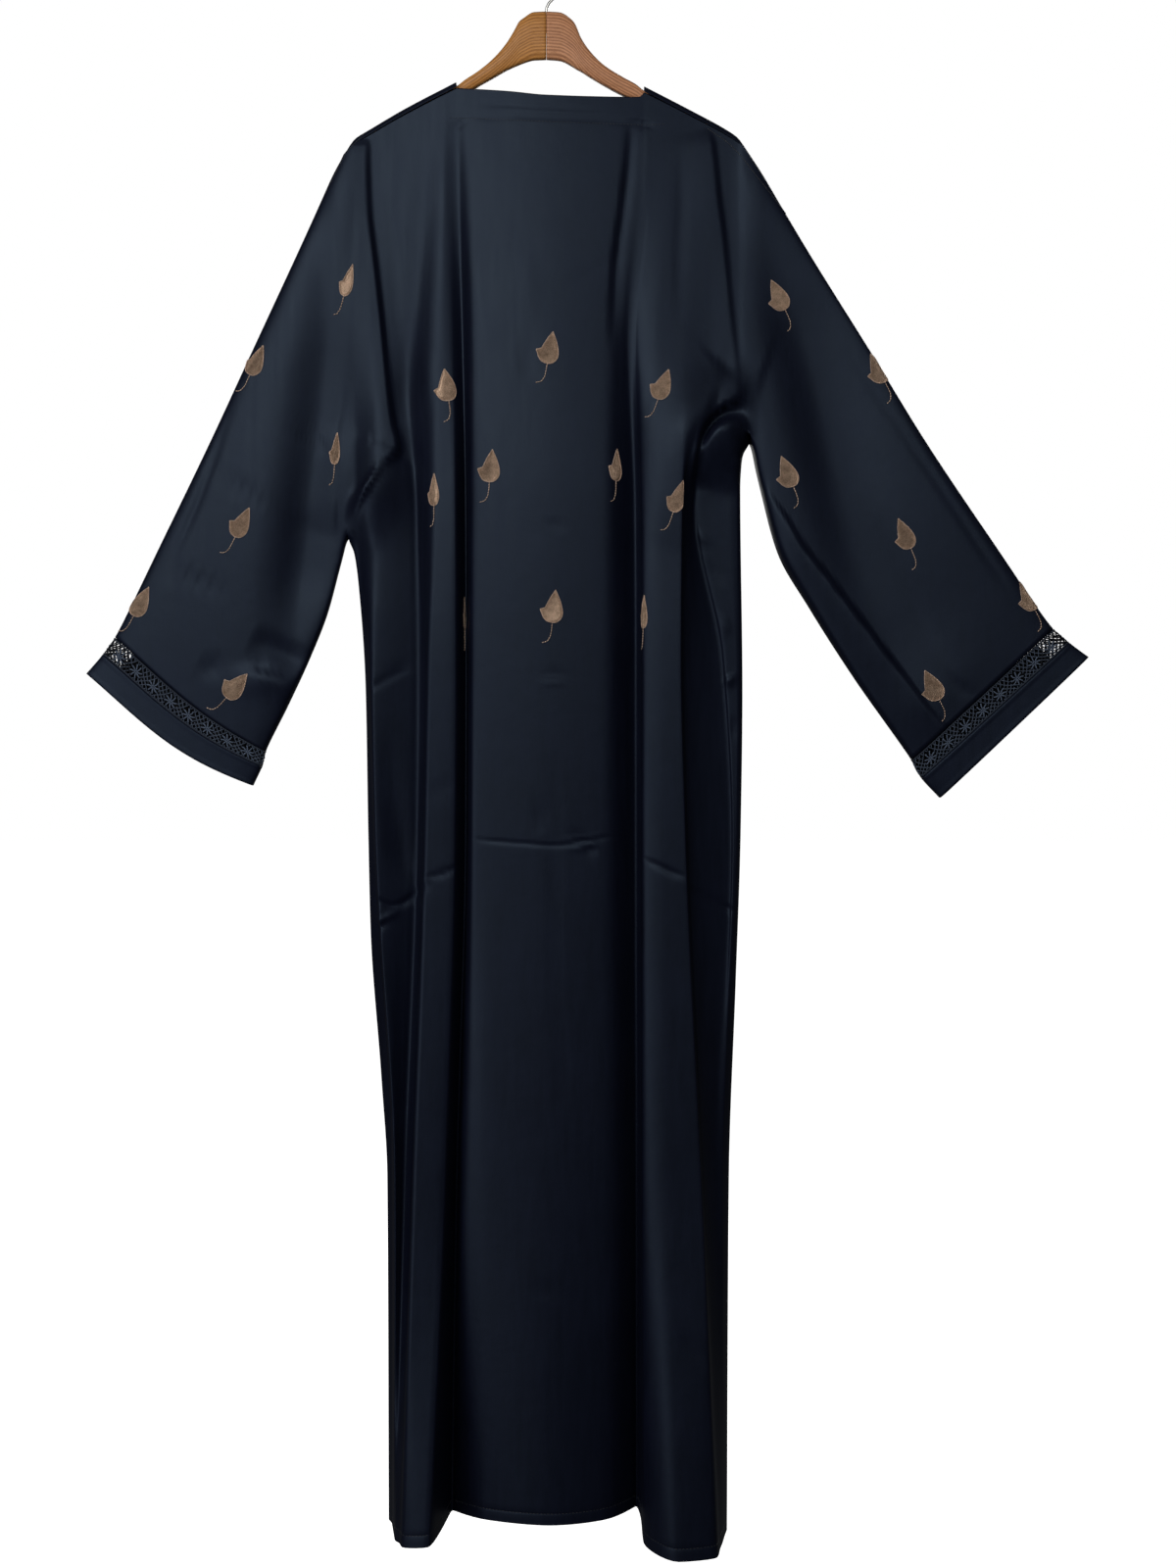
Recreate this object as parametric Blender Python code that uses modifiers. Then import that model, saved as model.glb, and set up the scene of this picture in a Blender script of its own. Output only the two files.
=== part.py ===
"""Long open abaya cloak, cut in one with its wide sleeves, hung on a contoured wooden hanger.

The origin is the inside top of the hanger's hook. +Z is up, -Y is the back of the garment and
+Y its open front, so the wearer's left is at -X. Lengths in the tables are millimetres:
across is measured from the middle line, drop downwards from the level of the neck point,
and out from the seam plane, positive towards the back on the back and towards the front
on the front.
"""

import math

import bmesh
import bpy
import numpy as np

MM = 0.001

# ---- driving dimensions, in millimetres ----
NECK_POINT_BELOW_HOOK = 126.7
WALL = 1.2
EDGE_CLEARANCE = 0.2
EDGE_WALL = 3.0
END_GAP = 0.012
BOW_ACROSS = 0.56
BOW_DOWN = 0.83
SHOULDER_FORWARD = 20.0
SHOULDER_SPAN = 230.0
FORWARD_LEFT_AT_HEM = 0.3
SLEEVE_HEAD = 396.0
SHOULDER_DEPTH = 22.0
EDGE_ROUNDNESS = 0.35
BACK_SEAM_DROP = 7.0
FRONT_ROLL_DROP = 11.0
BACK_YOKE = 116.0
FRONT_YOKE = 176.0
KNEE = 1116.0
HEM = 1476.0
HOOK_WIRE = 3.0
HOOK_INSIDE_RADIUS = 20.0
HOOK_IN_WOOD = 22.0
HOOK_HOLE_CLEARANCE = 0.35
HOOK_FROM_ANGLE = -62.0
HOOK_TO_ANGLE = 208.0
STEM_BEND = 9.0
HANGER_TOP_DROP = -71.7
HANGER_HALF_THICKNESS = 6.5
MITRE_GAP = 0.3
ARM_BELOW_CLOTH = 3.2

# ---- outlines: (across, drop) ----
SHOULDER_LEFT = ((-207.5, 66), (-206, 62), (-199.5, 56), (-182.5, 46), (-146.5, 26), (-92, 0))
SHOULDER_RIGHT = ((100, 4), (146.5, 26), (185.5, 46), (200.5, 56), (205.5, 61), (207, 66))
BACK_NECK = ((-87.5, 7.5), (-70.5, 9), (-37.5, 12), (0, 16), (42.5, 17), (94.5, 16))
FRONT_NECK_LEFT = ((-91, 18), (-86, 38), (-76, 66), (-58, 97), (-34, 122), (-3, 138))
FRONT_NECK_RIGHT = ((3, 138), (36, 124), (64, 100), (84, 69), (94, 41), (99, 21))
SIDE_LEFT = (
    (66, -207.5),
    (462, -203.5),
    (480, -197),
    (516, -192),
    (616, -185),
    (766, -182),
    (866, -179.5),
    (1016, -168.5),
    (1116, -162.5),
    (1476, -161),
)
SIDE_RIGHT = (
    (66, 207),
    (364, 208.5),
    (380, 201),
    (416, 198.5),
    (616, 200.5),
    (766, 198.5),
    (916, 193.5),
    (1116, 186.5),
    (1476, 184.5),
)

# ---- sleeves: one row for each station, from the armhole to the hem of the cuff ----
# name, upper across, upper drop, under across, under drop, half depth, bow of the line
SLEEVE_LEFT = (
    ("armhole", -207.5, 66, -203.5, 462, 22, 0),
    ("upper_arm", -252.5, 166, -212.5, 496, 23, 0),
    ("elbow", -298.5, 266, -224.5, 541, 22, 1),
    ("forearm", -344.5, 366, -242.5, 587, 20, 2),
    ("wrist", -392.5, 466, -264.5, 635, 17, 4),
    ("lace_top", -441.5, 566, -289.5, 686, 14, 7),
    ("cuff_top", -453.5, 583, -298.5, 701, 13.5, 9),
    ("cuff_hem", -470.5, 603, -300.5, 717.5, 13, 11.5),
)
SLEEVE_RIGHT = (
    ("armhole", 207, 66, 208.5, 364, 22, 0),
    ("upper_arm", 266.5, 166, 220.5, 416, 23, 0),
    ("elbow", 328.5, 266, 237.5, 479, 22, 0),
    ("forearm", 389, 366, 270.5, 537, 20, 0),
    ("wrist", 455.5, 466, 315.5, 608, 17, 0),
    ("lace_top", 518.5, 557, 373.5, 691, 14, 0),
    ("cuff_top", 534.5, 571, 383.5, 709, 13.5, 0),
    ("cuff_hem", 554.5, 586, 402.5, 730, 13, 0),
)
LACE_TOP = 5
CUFF_TOP = 6
CUFF_HEM = 7
WELD = 0.02
HOOK_STEPS = 26

# ---- folds of the body: one row for each line that runs down the cloth ----
# name, across at each level, out at each level, drop of the hem
LEVELS = (0, 116, 266, 436, 586, 766, 1116, 1476)
BACK_FOLDS = (
    ("left_turn", (-200, -200, -199, -196, -184, -177, -158, -157), (10, 15, 20, 12, 9, 8, 8, 14), 1467),
    ("left_round", (-180, -178, -176, -173, -170, -168, -153, -150), (11, 14, 18, 16, 16, 17, 22, 52), 1469),
    ("left_recess", (-152, -152, -150, -136, -135, -135, -138, -146), (11, 13, 13, 8, 8, 9, 20, 70), 1470),
    ("p1_foot", (-122, -121, -120, -118, -120, -124, -133, -142), (11, 13, 15, 14, 17, 22, 38, 80), 1470),
    ("p1_crest", (-106, -106, -108, -111, -114, -118, -128, -136), (11, 14, 20, 33, 38, 40, 55, 86), 1470),
    ("p1_right", (-98, -98, -96, -96, -97, -98, -103, -114), (11, 13, 17, 26, 29, 31, 42, 68), 1467),
    ("valley_left", (-92, -90, -84, -83, -83, -84, -94, -97), (11, 12, 8, 5, 5, 5, 5, 5), 1458),
    ("centre_left", (-71, -66, -68, -74, -75, -75, -84, -92), (11, 13, 18, 24, 25, 26, 24, 9), 1456),
    ("centre_in", (-52, -52, -55, -60, -61, -61, -67, -66), (11, 14, 20, 27, 29, 30, 34, 34), 1455),
    ("centre_mid", (2, 2, 2, 2, 2, 2, 2, 4), (11, 14, 22, 30, 32, 34, 46, 62), 1455),
    ("centre_out", (66, 62, 51, 60, 61, 61, 65, 66), (11, 14, 19, 27, 29, 30, 34, 34), 1454),
    ("centre_right", (92, 83, 68, 75, 75, 76, 82, 88), (11, 13, 15, 20, 21, 22, 22, 12), 1452),
    ("valley_right", (100, 95, 83, 88, 88, 88, 91, 92), (11, 12, 10, 5, 5, 5, 5, 5), 1453),
    ("p2_left", (108, 107, 95, 98, 98, 97, 97, 98), (11, 13, 15, 22, 25, 26, 28, 44), 1476),
    ("p2_mid", (127, 126, 118, 117, 118, 120, 124, 130), (11, 14, 20, 32, 35, 37, 44, 86), 1483),
    ("p2_ridge", (148, 147, 146, 142, 140, 142, 156, 159), (11, 14, 21, 34, 36, 36, 50, 74), 1482),
    ("side_slope", (172, 171, 171, 146, 163, 164, 170, 171), (11, 14, 18, 12, 17, 20, 30, 48), 1480),
    ("side_fold", (186, 185, 185, 152, 181, 186, 176, 176), (11, 14, 18, 6, 7, 9, 20, 36), 1479),
    ("side_strip", (195, 195, 195, 178, 191, 191, 180, 179), (10, 14, 18, 7, 9, 13, 14, 24), 1478),
    ("right_turn", (201, 202, 203, 194, 196, 194, 183, 182), (10, 15, 20, 8, 8, 8, 8, 12), 1478),
)
FRONT_FOLDS_LEFT = (
    ("left_turn", (-200, -200, -199, -196, -184, -177, -158, -157), (10, 15, 20, 13, 9, 8, 8, 14), 1467),
    ("left_round", (-174, -173, -172, -172, -168, -160, -147, -142), (12, 15, 20, 24, 26, 30, 42, 62), 1468),
    ("left_hollow", (-142, -141, -138, -134, -130, -124, -118, -114), (12, 14, 15, 12, 11, 11, 11, 11), 1463),
    ("left_foot", (-118, -117, -113, -108, -105, -103, -102, -100), (12, 14, 18, 24, 27, 32, 42, 60), 1465),
    ("left_fold", (-106, -104, -101, -96, -93, -90, -87, -83), (12, 14, 20, 30, 35, 41, 54, 76), 1466),
    ("neck_fall", (-92, -88, -82, -76, -72, -70, -66, -62), (12, 13, 15, 13, 12, 12, 12, 14), 1461),
    ("front_hollow", (-82, -74, -64, -58, -55, -54, -52, -50), (11, 13, 14, 11, 11, 11, 11, 11), 1460),
    ("front_round", (-50, -46, -38, -34, -32, -31, -30, -29), (12, 14, 19, 25, 28, 31, 39, 50), 1463),
    ("front_in", (-26, -24, -18, -16, -15, -15, -16, -17), (13, 15, 18, 22, 24, 26, 30, 38), 1463),
    ("front_edge", (-3, -3, -3.5, -4, -5, -6, -8, -10), (13, 15, 16, 17, 18, 19, 20, 24), 1462),
)
FRONT_FOLDS_RIGHT = (
    ("front_edge", (3, 3, 3.5, 4, 4, 3, 2, 2), (13, 15, 16, 16, 17, 18, 21, 26), 1462),
    ("front_in", (22, 20, 18, 16, 16, 17, 18, 20), (13, 15, 19, 23, 25, 28, 34, 44), 1464),
    ("front_round", (46, 42, 40, 38, 38, 39, 40, 42), (12, 14, 19, 24, 27, 30, 36, 46), 1464),
    ("front_hollow", (88, 78, 68, 64, 62, 61, 60, 59), (11, 13, 14, 11, 11, 11, 11, 11), 1460),
    ("neck_fall", (100, 96, 88, 80, 77, 75, 73, 71), (12, 13, 15, 15, 15, 16, 18, 22), 1462),
    ("right_fold", (112, 110, 108, 103, 100, 99, 98, 96), (12, 14, 20, 31, 37, 43, 58, 82), 1470),
    ("right_foot", (126, 124, 121, 117, 114, 113, 113, 113), (12, 14, 17, 23, 27, 31, 40, 58), 1470),
    ("right_hollow", (148, 147, 144, 137, 137, 136, 132, 130), (12, 14, 15, 11, 11, 11, 11, 11), 1466),
    ("right_round", (178, 177, 176, 168, 173, 172, 162, 158), (12, 15, 20, 20, 24, 29, 40, 58), 1474),
    ("right_turn", (201, 202, 203, 194, 196, 194, 183, 182), (10, 15, 20, 12, 10, 8, 8, 12), 1476),
)
# Extra columns between a named line and the next one, where the cloth is broad.
BACK_EXTRA = {"centre_in": 2, "centre_mid": 2, "p2_mid": 1, "left_round": 1}
FRONT_EXTRA = {"left_turn": 1, "front_hollow": 1, "front_round": 1, "right_round": 1}

# ---- drapes and troughs that cross the cloth ----
# name, width on its left, width on its right, then its path: (across, drop, height)
BACK_DRAPES = (
    (
        "left_underarm_drape",
        4,
        55,
        (
            (-185, 70, 0),
            (-179, 216, 5),
            (-165, 296, 12),
            (-155, 350, 18),
            (-152, 378, 20),
            (-166, 398, 20),
            (-185, 419, 16),
            (-196, 441, 9),
            (-203, 464, 0),
        ),
    ),
    (
        "right_underarm_arch",
        5,
        45,
        (
            (207, 296, 0),
            (199, 314, 10),
            (182, 328, 16),
            (164, 352, 17),
            (151, 386, 12),
            (146, 420, 5),
            (144, 476, 0),
        ),
    ),
    ("left_sleeve_trough", 24, 24, ((-224, 180, 0), (-250, 300, -10), (-267, 449, -11), (-254, 536, 0))),
    (
        "right_sleeve_trough",
        24,
        24,
        ((205, 150, 0), (230, 261, -8), (279, 362, -10), (291, 456, -10), (352, 542, -7), (387, 607, 0)),
    ),
    ("right_sleeve_roll", 9, 26, ((222, 420, 0), (306, 530, 6), (372, 605, 7), (422, 671, 4), (436, 695, 0))),
)
FRONT_DRAPES = (
    (
        "left_underarm_drape",
        9,
        50,
        ((-184, 80, 0), (-176, 230, 5), (-160, 330, 11), (-162, 390, 14), (-184, 428, 10), (-203, 464, 0)),
    ),
    (
        "right_underarm_drape",
        50,
        9,
        ((184, 80, 0), (178, 190, 5), (160, 290, 11), (164, 338, 12), (188, 354, 8), (208, 366, 0)),
    ),
    ("left_sleeve_trough", 26, 26, ((-230, 190, 0), (-262, 320, -9), (-290, 470, -9), (-300, 590, 0))),
    (
        "right_sleeve_trough",
        26,
        26,
        ((226, 160, 0), (262, 270, -8), (310, 400, -9), (350, 540, -6), (384, 620, 0)),
    ),
)

# ---- rows: how far down each row of the grid lies ----
YOKE_ROWS = (0, 0.22, 0.5, 0.76, 1)
BODY_ROWS = (
    (155, 205, 255, 300, 335, 364, 390, 415, 440, 462, 495, 530, 586, 660, 766, 890)
    + (1000, 1116, 1230, 1330, 1410, 1476)
)
SLEEVE_STEPS_PER_STATION = 1.5
ROLL_BEHIND = (5.9, 3.4, 1.2)
ROLL_BEFORE = (0, 1.2, 3.6, 7, 11)
RING_SHARES = (0, 0.006, 0.02, 0.05, 0.12, 0.25, 0.4, 0.55, 0.7, 0.82, 0.92, 0.975, 1)

# ---- hanger: (across, top drop, bottom drop), from the mitre out to where the cloth covers it ----
ARM_LEFT = (
    (0, -71.7, -23),
    (-12.5, -71.2, -22.5),
    (-23.5, -65, -19.5),
    (-27.5, -62, -18),
    (-32.5, -53, -16),
    (-40.5, -40, -12.5),
    (-54.5, -24, -5),
    (-69.5, -12, 3),
    (-84, -3, 12),
    (-91, 2.2, 17),
)
ARM_RIGHT = (
    (0, -71.7, -23),
    (13, -71, -22),
    (26.5, -63, -16),
    (29.5, -59, -14),
    (35.5, -45, -11),
    (43.5, -33, -6),
    (58.5, -18, 2.5),
    (78.5, -6, 12.5),
    (92, 1, 18),
    (99, 6.4, 22),
)
ARM_DEPTH_AT_NECK = 16.5
ARM_END = 199.0
ARM_END_ROUND = 4.0
ARM_SHARES = (0.12, 0.3, 0.5, 0.7, 0.86, 0.95)
ARM_TOP_EDGE = 3.5
ARM_BOTTOM_EDGE = 2.5


# ---- curves ----
def monotone(knots, values, at):
    """A smooth curve through the knots that never overshoots them."""
    x = np.asarray(knots, float)
    y = np.asarray(values, float)
    at = np.asarray(at, float)
    step = np.diff(x)
    slope = np.diff(y) / step
    tangent = np.zeros_like(y)
    tangent[0] = slope[0]
    tangent[-1] = slope[-1]
    for k in range(1, len(x) - 1):
        if slope[k - 1] * slope[k] > 0:
            before = 2 * step[k] + step[k - 1]
            after = step[k] + 2 * step[k - 1]
            tangent[k] = (before + after) / (before / slope[k - 1] + after / slope[k])
    k = np.clip(np.searchsorted(x, at, side="right") - 1, 0, len(x) - 2)
    t = np.clip((at - x[k]) / step[k], 0, 1)
    rise = y[k + 1] - y[k]
    first = step[k] * tangent[k]
    last = step[k] * tangent[k + 1]
    return y[k] + t * (first + t * (3 * rise - 2 * first - last + t * (first + last - 2 * rise)))


def along(table, at):
    """Reads a table of (knot, value) rows as a smooth curve."""
    knots, values = zip(*table)
    return monotone(knots, values, at)


def smooth(value):
    value = np.clip(value, 0, 1)
    return value * value * (3 - 2 * value)


def forward(across, drop):
    """How far the seam plane lies forward of the hook: the hanger's arms curve to the front."""
    reach = np.sin(np.minimum(np.abs(across) / SHOULDER_SPAN, 1) * math.pi / 2) ** 2
    return SHOULDER_FORWARD * reach * (1 - (1 - FORWARD_LEFT_AT_HEM) * smooth(drop / 900))


def place(across, drop, back_out):
    """World position of a point that lies back_out behind the seam plane."""
    across, drop, back_out = np.broadcast_arrays(across, drop, back_out)
    y = forward(across, drop) - back_out
    return np.stack([across, y, -NECK_POINT_BELOW_HOOK - drop], axis=-1) * MM


def shoulder_crest(across):
    """Drop of the top of the shoulder, where the cloth turns over the hanger."""
    across = np.asarray(across, float)
    left = along(SHOULDER_LEFT, across)
    right = along(SHOULDER_RIGHT, across)
    return np.where(across < 0, left, right)


def edge_round(below_crest):
    """How far the cloth stands out at a distance below the fold that it hangs from."""
    share = np.clip(below_crest / SLEEVE_HEAD, 0, 0.5)
    return SHOULDER_DEPTH * (4 * share * (1 - share)) ** EDGE_ROUNDNESS


# ---- drapes ----
def path_distance(path, across, drop):
    """Distance to a path, the side it is on (1 for the right of its course) and its height there."""
    points = np.asarray(path, float)
    nearest = np.full(np.shape(across), np.inf)
    side = np.zeros(np.shape(across))
    height = np.zeros(np.shape(across))
    for a, b in zip(points[:-1], points[1:]):
        course = b[:2] - a[:2]
        length = math.hypot(*course)
        t = np.clip(((across - a[0]) * course[0] + (drop - a[1]) * course[1]) / length**2, 0, 1)
        dx = across - a[0] - t * course[0]
        dy = drop - a[1] - t * course[1]
        distance = np.hypot(dx, dy)
        closer = distance < nearest
        nearest = np.where(closer, distance, nearest)
        side = np.where(closer, np.sign(course[0] * dy - course[1] * dx), side)
        height = np.where(closer, a[2] + t * (b[2] - a[2]), height)
    return nearest, side, height


def rounded_path(path, pieces=5):
    """The same path with its corners eased."""
    points = np.asarray(path, float)
    knots = np.concatenate([[0], np.cumsum(np.hypot(*np.diff(points[:, :2], axis=0).T))])
    at = np.linspace(0, knots[-1], pieces * (len(points) - 1) + 1)
    return np.stack([monotone(knots, points[:, k], at) for k in range(3)], axis=1)


def drapes(table, across, drop):
    """Sum of the drapes and troughs at a place on the cloth."""
    total = np.zeros(np.shape(across))
    for _, left_width, right_width, path in table:
        distance, side, height = path_distance(rounded_path(path), across, drop)
        width = np.where(side > 0, right_width, left_width)
        total += height * np.exp(-((distance / width) ** 2))
    return total


# ---- sleeves ----
def sleeve_point(stations, drapes_table, share, station):
    """Across, drop and out of a sleeve at a share of its width: 0 is the upper fold, 1 the underarm seam."""
    share, station = np.broadcast_arrays(np.asarray(share, float), np.asarray(station, float))
    count = np.arange(len(stations))
    upper_x, upper_z, under_x, under_z, depth, bow = (
        monotone(count, [row[k] for row in stations], station) for k in range(1, 7)
    )
    push = bow * np.sin(math.pi * share**1.25)
    across = upper_x + (under_x - upper_x) * share + push * BOW_ACROSS * np.sign(stations[0][1])
    drop = upper_z + (under_z - upper_z) * share + push * BOW_DOWN
    round_edge = (4 * share * (1 - share)) ** EDGE_ROUNDNESS
    fade = smooth((CUFF_TOP - station) / 2) * np.minimum(1, round_edge)
    out = depth * round_edge + drapes(drapes_table, across, drop) * fade
    return across, drop, np.where(share * (1 - share) > 0, np.maximum(out, EDGE_WALL), out)


def sleeve_stops(first, last):
    """Stations of a grid along the sleeve."""
    count = max(1, round((last - first) * SLEEVE_STEPS_PER_STATION))
    return np.linspace(first, last, count + 1)


def armhole_shares(stations, drops):
    """Where rows of the body meet the armhole, as shares of its length."""
    top, armpit = stations[0][2], stations[0][4]
    return (drops[drops < armpit] - top) / (armpit - top)


def sleeve_half(stations, drapes_table, shares):
    """Half a sleeve, from the armhole to the lace, down to the wall of its underarm seam."""
    stops = sleeve_stops(0, LACE_TOP - END_GAP)
    share, station = np.meshgrid(shares, stops, indexing="ij")
    across, drop, out = sleeve_point(stations, drapes_table, share, station)
    end_across, end_drop, _ = sleeve_point(stations, drapes_table, 1, stops)
    wall = (end_across, end_drop, np.full(len(stops), EDGE_WALL))
    return [np.vstack([grid, line]) for grid, line in zip((across, drop, out), wall)]


# ---- body ----
def fold_lines(table, drop):
    """Across and out of every named line at one drop."""
    across = np.array([monotone(LEVELS, row[1], drop) for row in table])
    out = np.array([monotone(LEVELS, row[2], drop) for row in table])
    return across, out


def columns(table, extra):
    """Positions of the grid's columns, counted in named lines."""
    found = []
    for k, row in enumerate(table[:-1]):
        between = extra.get(row[0], 0) + 1
        found += [k + i / between for i in range(between)]
    return np.array(found + [len(table) - 1.0])


def yoke_row(table, at, top_edge, yoke, level):
    """A row between the top edge, where level is 0, and the yoke's lower line, where it is 1."""
    count = np.arange(len(table))
    across = monotone(count, fold_lines(table, level * yoke)[0], at)
    drop = top_edge(across) + (yoke - top_edge(across)) * level
    out = np.array([monotone(count, fold_lines(table, d)[1], u) for d, u in zip(drop, at)])
    hung = edge_round(np.maximum(drop - shoulder_crest(across), 0))
    return across, drop, np.where(on_shoulder(across), np.minimum(out, hung), out)


def body_row(table, at, drop):
    """A level row below the yoke. Rows below the knee spread so that the last one is the hem."""
    count = np.arange(len(table))
    across, out = (monotone(count, line, at) for line in fold_lines(table, drop))
    hem = monotone(count, [row[3] for row in table], at)
    below_knee = max(drop - KNEE, 0) / (HEM - KNEE)
    return across, drop + below_knee * (hem - HEM), out


def side_column(drops, top_edge, yoke, stations, drapes_table, side_table):
    """The closed edge of the body: the armhole, then the wall of the side seam."""
    tip = float(top_edge(stations[0][1]))
    yoke_drops = tip + (yoke - tip) * np.array(YOKE_ROWS)
    drops = np.concatenate([yoke_drops, drops])
    shares = armhole_shares(stations, drops)
    armhole = sleeve_point(stations, drapes_table, shares, 0)
    below = drops[len(shares) :]
    seam = (along(side_table, below), below, np.full(len(below), EDGE_WALL))
    return [np.concatenate(pair) for pair in zip(armhole, seam)]


def body_grid(table, extra, top_edge, yoke, drapes_table, left=None, right=None):
    """Grid of the body. left and right are (stations, side table), or None where the edge is open."""
    at = columns(table, extra)
    levels = [d for d in BODY_ROWS if d > yoke]
    rows = [yoke_row(table, at, top_edge, yoke, level) for level in YOKE_ROWS]
    rows += [body_row(table, at, d) for d in levels]
    across, drop, out = (np.array(part) for part in zip(*rows))
    out = out + drapes(drapes_table, across, drop)
    grid = [across, drop, out]
    for side, position in ((left, 0), (right, -1)):
        if side is None:
            continue
        hem_shift = np.maximum(np.array(levels) - KNEE, 0) / (HEM - KNEE) * (table[position][3] - HEM)
        column = side_column(np.array(levels) + hem_shift, top_edge, yoke, side[0], drapes_table, side[1])
        pairs = [(c[:, None], g) if position == 0 else (g, c[:, None]) for c, g in zip(column, grid)]
        grid = [np.hstack(pair) for pair in pairs]
    return grid


def seam_wall(stations, body, position):
    """The short wall that turns in to the underarm and side seam: from its outer line to the seam."""
    stops = sleeve_stops(0, LACE_TOP - END_GAP)[::-1]
    across, drop, _ = sleeve_point(stations, (), 1, stops)
    on_side = body[1][:, position] > stations[0][4]
    across = np.concatenate([across, body[0][on_side, position]])
    drop = np.concatenate([drop, body[1][on_side, position]])
    out = np.stack([np.full(len(drop), EDGE_WALL), np.full(len(drop), EDGE_CLEARANCE)])
    return np.stack([across, across]), np.stack([drop, drop]), out


def on_shoulder(across):
    return (across <= SHOULDER_LEFT[-1][0]) | (across >= SHOULDER_RIGHT[0][0])


def top_edge_of(neck, below_crest):
    """A top edge that runs a fixed distance below the shoulder's crest, and along the neck between."""
    ends = ((SHOULDER_LEFT[-1][0], below_crest), (SHOULDER_RIGHT[0][0], SHOULDER_RIGHT[0][1] + below_crest))
    line = tuple(sorted(neck + tuple(e for e in ends if all(abs(e[0] - n[0]) > 1e-6 for n in neck))))

    def top_edge(across):
        across = np.asarray(across, float)
        return np.where(on_shoulder(across), shoulder_crest(across) + below_crest, along(line, across))

    return top_edge


def shoulder_roll(stations, table, extra, side):
    """The front's cloth that turns over the shoulder and the sleeve's upper fold to the seam behind."""
    at = columns(table, extra)
    across = monotone(np.arange(len(table)), fold_lines(table, 0)[0], at)
    across = across[on_shoulder(across)]
    if side < 0:
        across = across[::-1]
    stops = sleeve_stops(0, LACE_TOP - END_GAP)
    head = stations[0][4] - stations[0][2]
    lines = []
    for falls, drapes_table, turned in ((ROLL_BEHIND, BACK_DRAPES, 1), (ROLL_BEFORE, FRONT_DRAPES, -1)):
        for fall in falls:
            shoulder = (across, shoulder_crest(across) + fall, edge_round(fall) + 0 * across)
            sleeve = sleeve_point(stations, drapes_table, fall / head, stops)
            line = [np.concatenate(pair) for pair in zip(shoulder, sleeve)]
            lines.append((line[0], line[1], turned * line[2]))
    return [np.array(part) for part in zip(*lines)]


def ring(stations, first, last):
    """A flattened tube round the sleeve between two stations: back, underarm, front, upper fold."""
    stops = sleeve_stops(first, last)
    loop = [(share, BACK_DRAPES, 1) for share in RING_SHARES]
    loop += [(share, FRONT_DRAPES, -1) for share in RING_SHARES[-2:0:-1]]
    lines = []
    for share, drapes_table, turned in loop:
        across, drop, out = sleeve_point(stations, drapes_table, share, stops)
        lines.append((across, drop, turned * out))
    return [np.array(part).T for part in zip(*lines)]


# ---- meshes ----
def new_material(name, colour, roughness, metallic=0.0):
    material = bpy.data.materials.new(name)
    material.use_nodes = True
    shader = material.node_tree.nodes["Principled BSDF"]
    shader.inputs["Base Color"].default_value = (*colour, 1)
    shader.inputs["Roughness"].default_value = roughness
    shader.inputs["Metallic"].default_value = metallic
    return material


def add_object(name, shape, material):
    obj = bpy.data.objects.new(name, shape)
    obj.data.materials.append(material)
    bpy.data.collections["abaya_on_hanger"].objects.link(obj)
    return obj


def turned_to(grid, side):
    """World points of a grid whose depth is positive towards the back (side 1) or the front (-1)."""
    return place(grid[0], grid[1], side * grid[2])


def cloth(name, grids, material, outside, closed=False):
    """Welds grids of points into one sheet and gives it the wall, inwards from its outer face.

    outside is the y direction that the sheet's largest face looks to.
    """
    bm = bmesh.new()
    for points in grids:
        verts = [[bm.verts.new(p) for p in row] for row in points]
        for upper, lower in zip(verts[:-1], verts[1:]):
            pairs = list(zip(upper, lower))
            if closed:
                pairs.append(pairs[0])
            for (a, b), (c, d) in zip(pairs[:-1], pairs[1:]):
                bm.faces.new((a, b, d, c))
    bmesh.ops.remove_doubles(bm, verts=bm.verts, dist=WELD * MM)
    bmesh.ops.recalc_face_normals(bm, faces=bm.faces)
    if max(bm.faces, key=lambda face: face.calc_area()).normal.y * outside < 0:
        bmesh.ops.reverse_faces(bm, faces=bm.faces)
    mesh = bpy.data.meshes.new(name)
    bm.to_mesh(mesh)
    bm.free()
    obj = add_object(name, mesh, material)
    wall = obj.modifiers.new("wall", "SOLIDIFY")
    wall.thickness = WALL * MM
    wall.offset = -1


def back(material):
    body = body_grid(
        BACK_FOLDS,
        BACK_EXTRA,
        top_edge_of(BACK_NECK, BACK_SEAM_DROP),
        BACK_YOKE,
        BACK_DRAPES,
        left=(SLEEVE_LEFT, SIDE_LEFT),
        right=(SLEEVE_RIGHT, SIDE_RIGHT),
    )
    grids = [turned_to(body, 1)]
    for stations, position in ((SLEEVE_LEFT, 0), (SLEEVE_RIGHT, -1)):
        shares = armhole_shares(stations, body[1][:, position])
        grids.append(turned_to(sleeve_half(stations, BACK_DRAPES, shares), 1))
        grids.append(turned_to(seam_wall(stations, body, position), 1))
    cloth("back", grids, material, -1)


def front(name, folds, neck, stations, side_table, side, material):
    closed = {"left" if side < 0 else "right": (stations, side_table)}
    body = body_grid(
        folds, FRONT_EXTRA, top_edge_of(neck, FRONT_ROLL_DROP), FRONT_YOKE, FRONT_DRAPES, **closed
    )
    position = 0 if side < 0 else -1
    shares = armhole_shares(stations, body[1][:, position])
    grids = [
        turned_to(body, -1),
        turned_to(sleeve_half(stations, FRONT_DRAPES, shares), -1),
        turned_to(seam_wall(stations, body, position), -1),
        turned_to(shoulder_roll(stations, folds, FRONT_EXTRA, side), 1),
    ]
    cloth(name, grids, material, 1)


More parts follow.
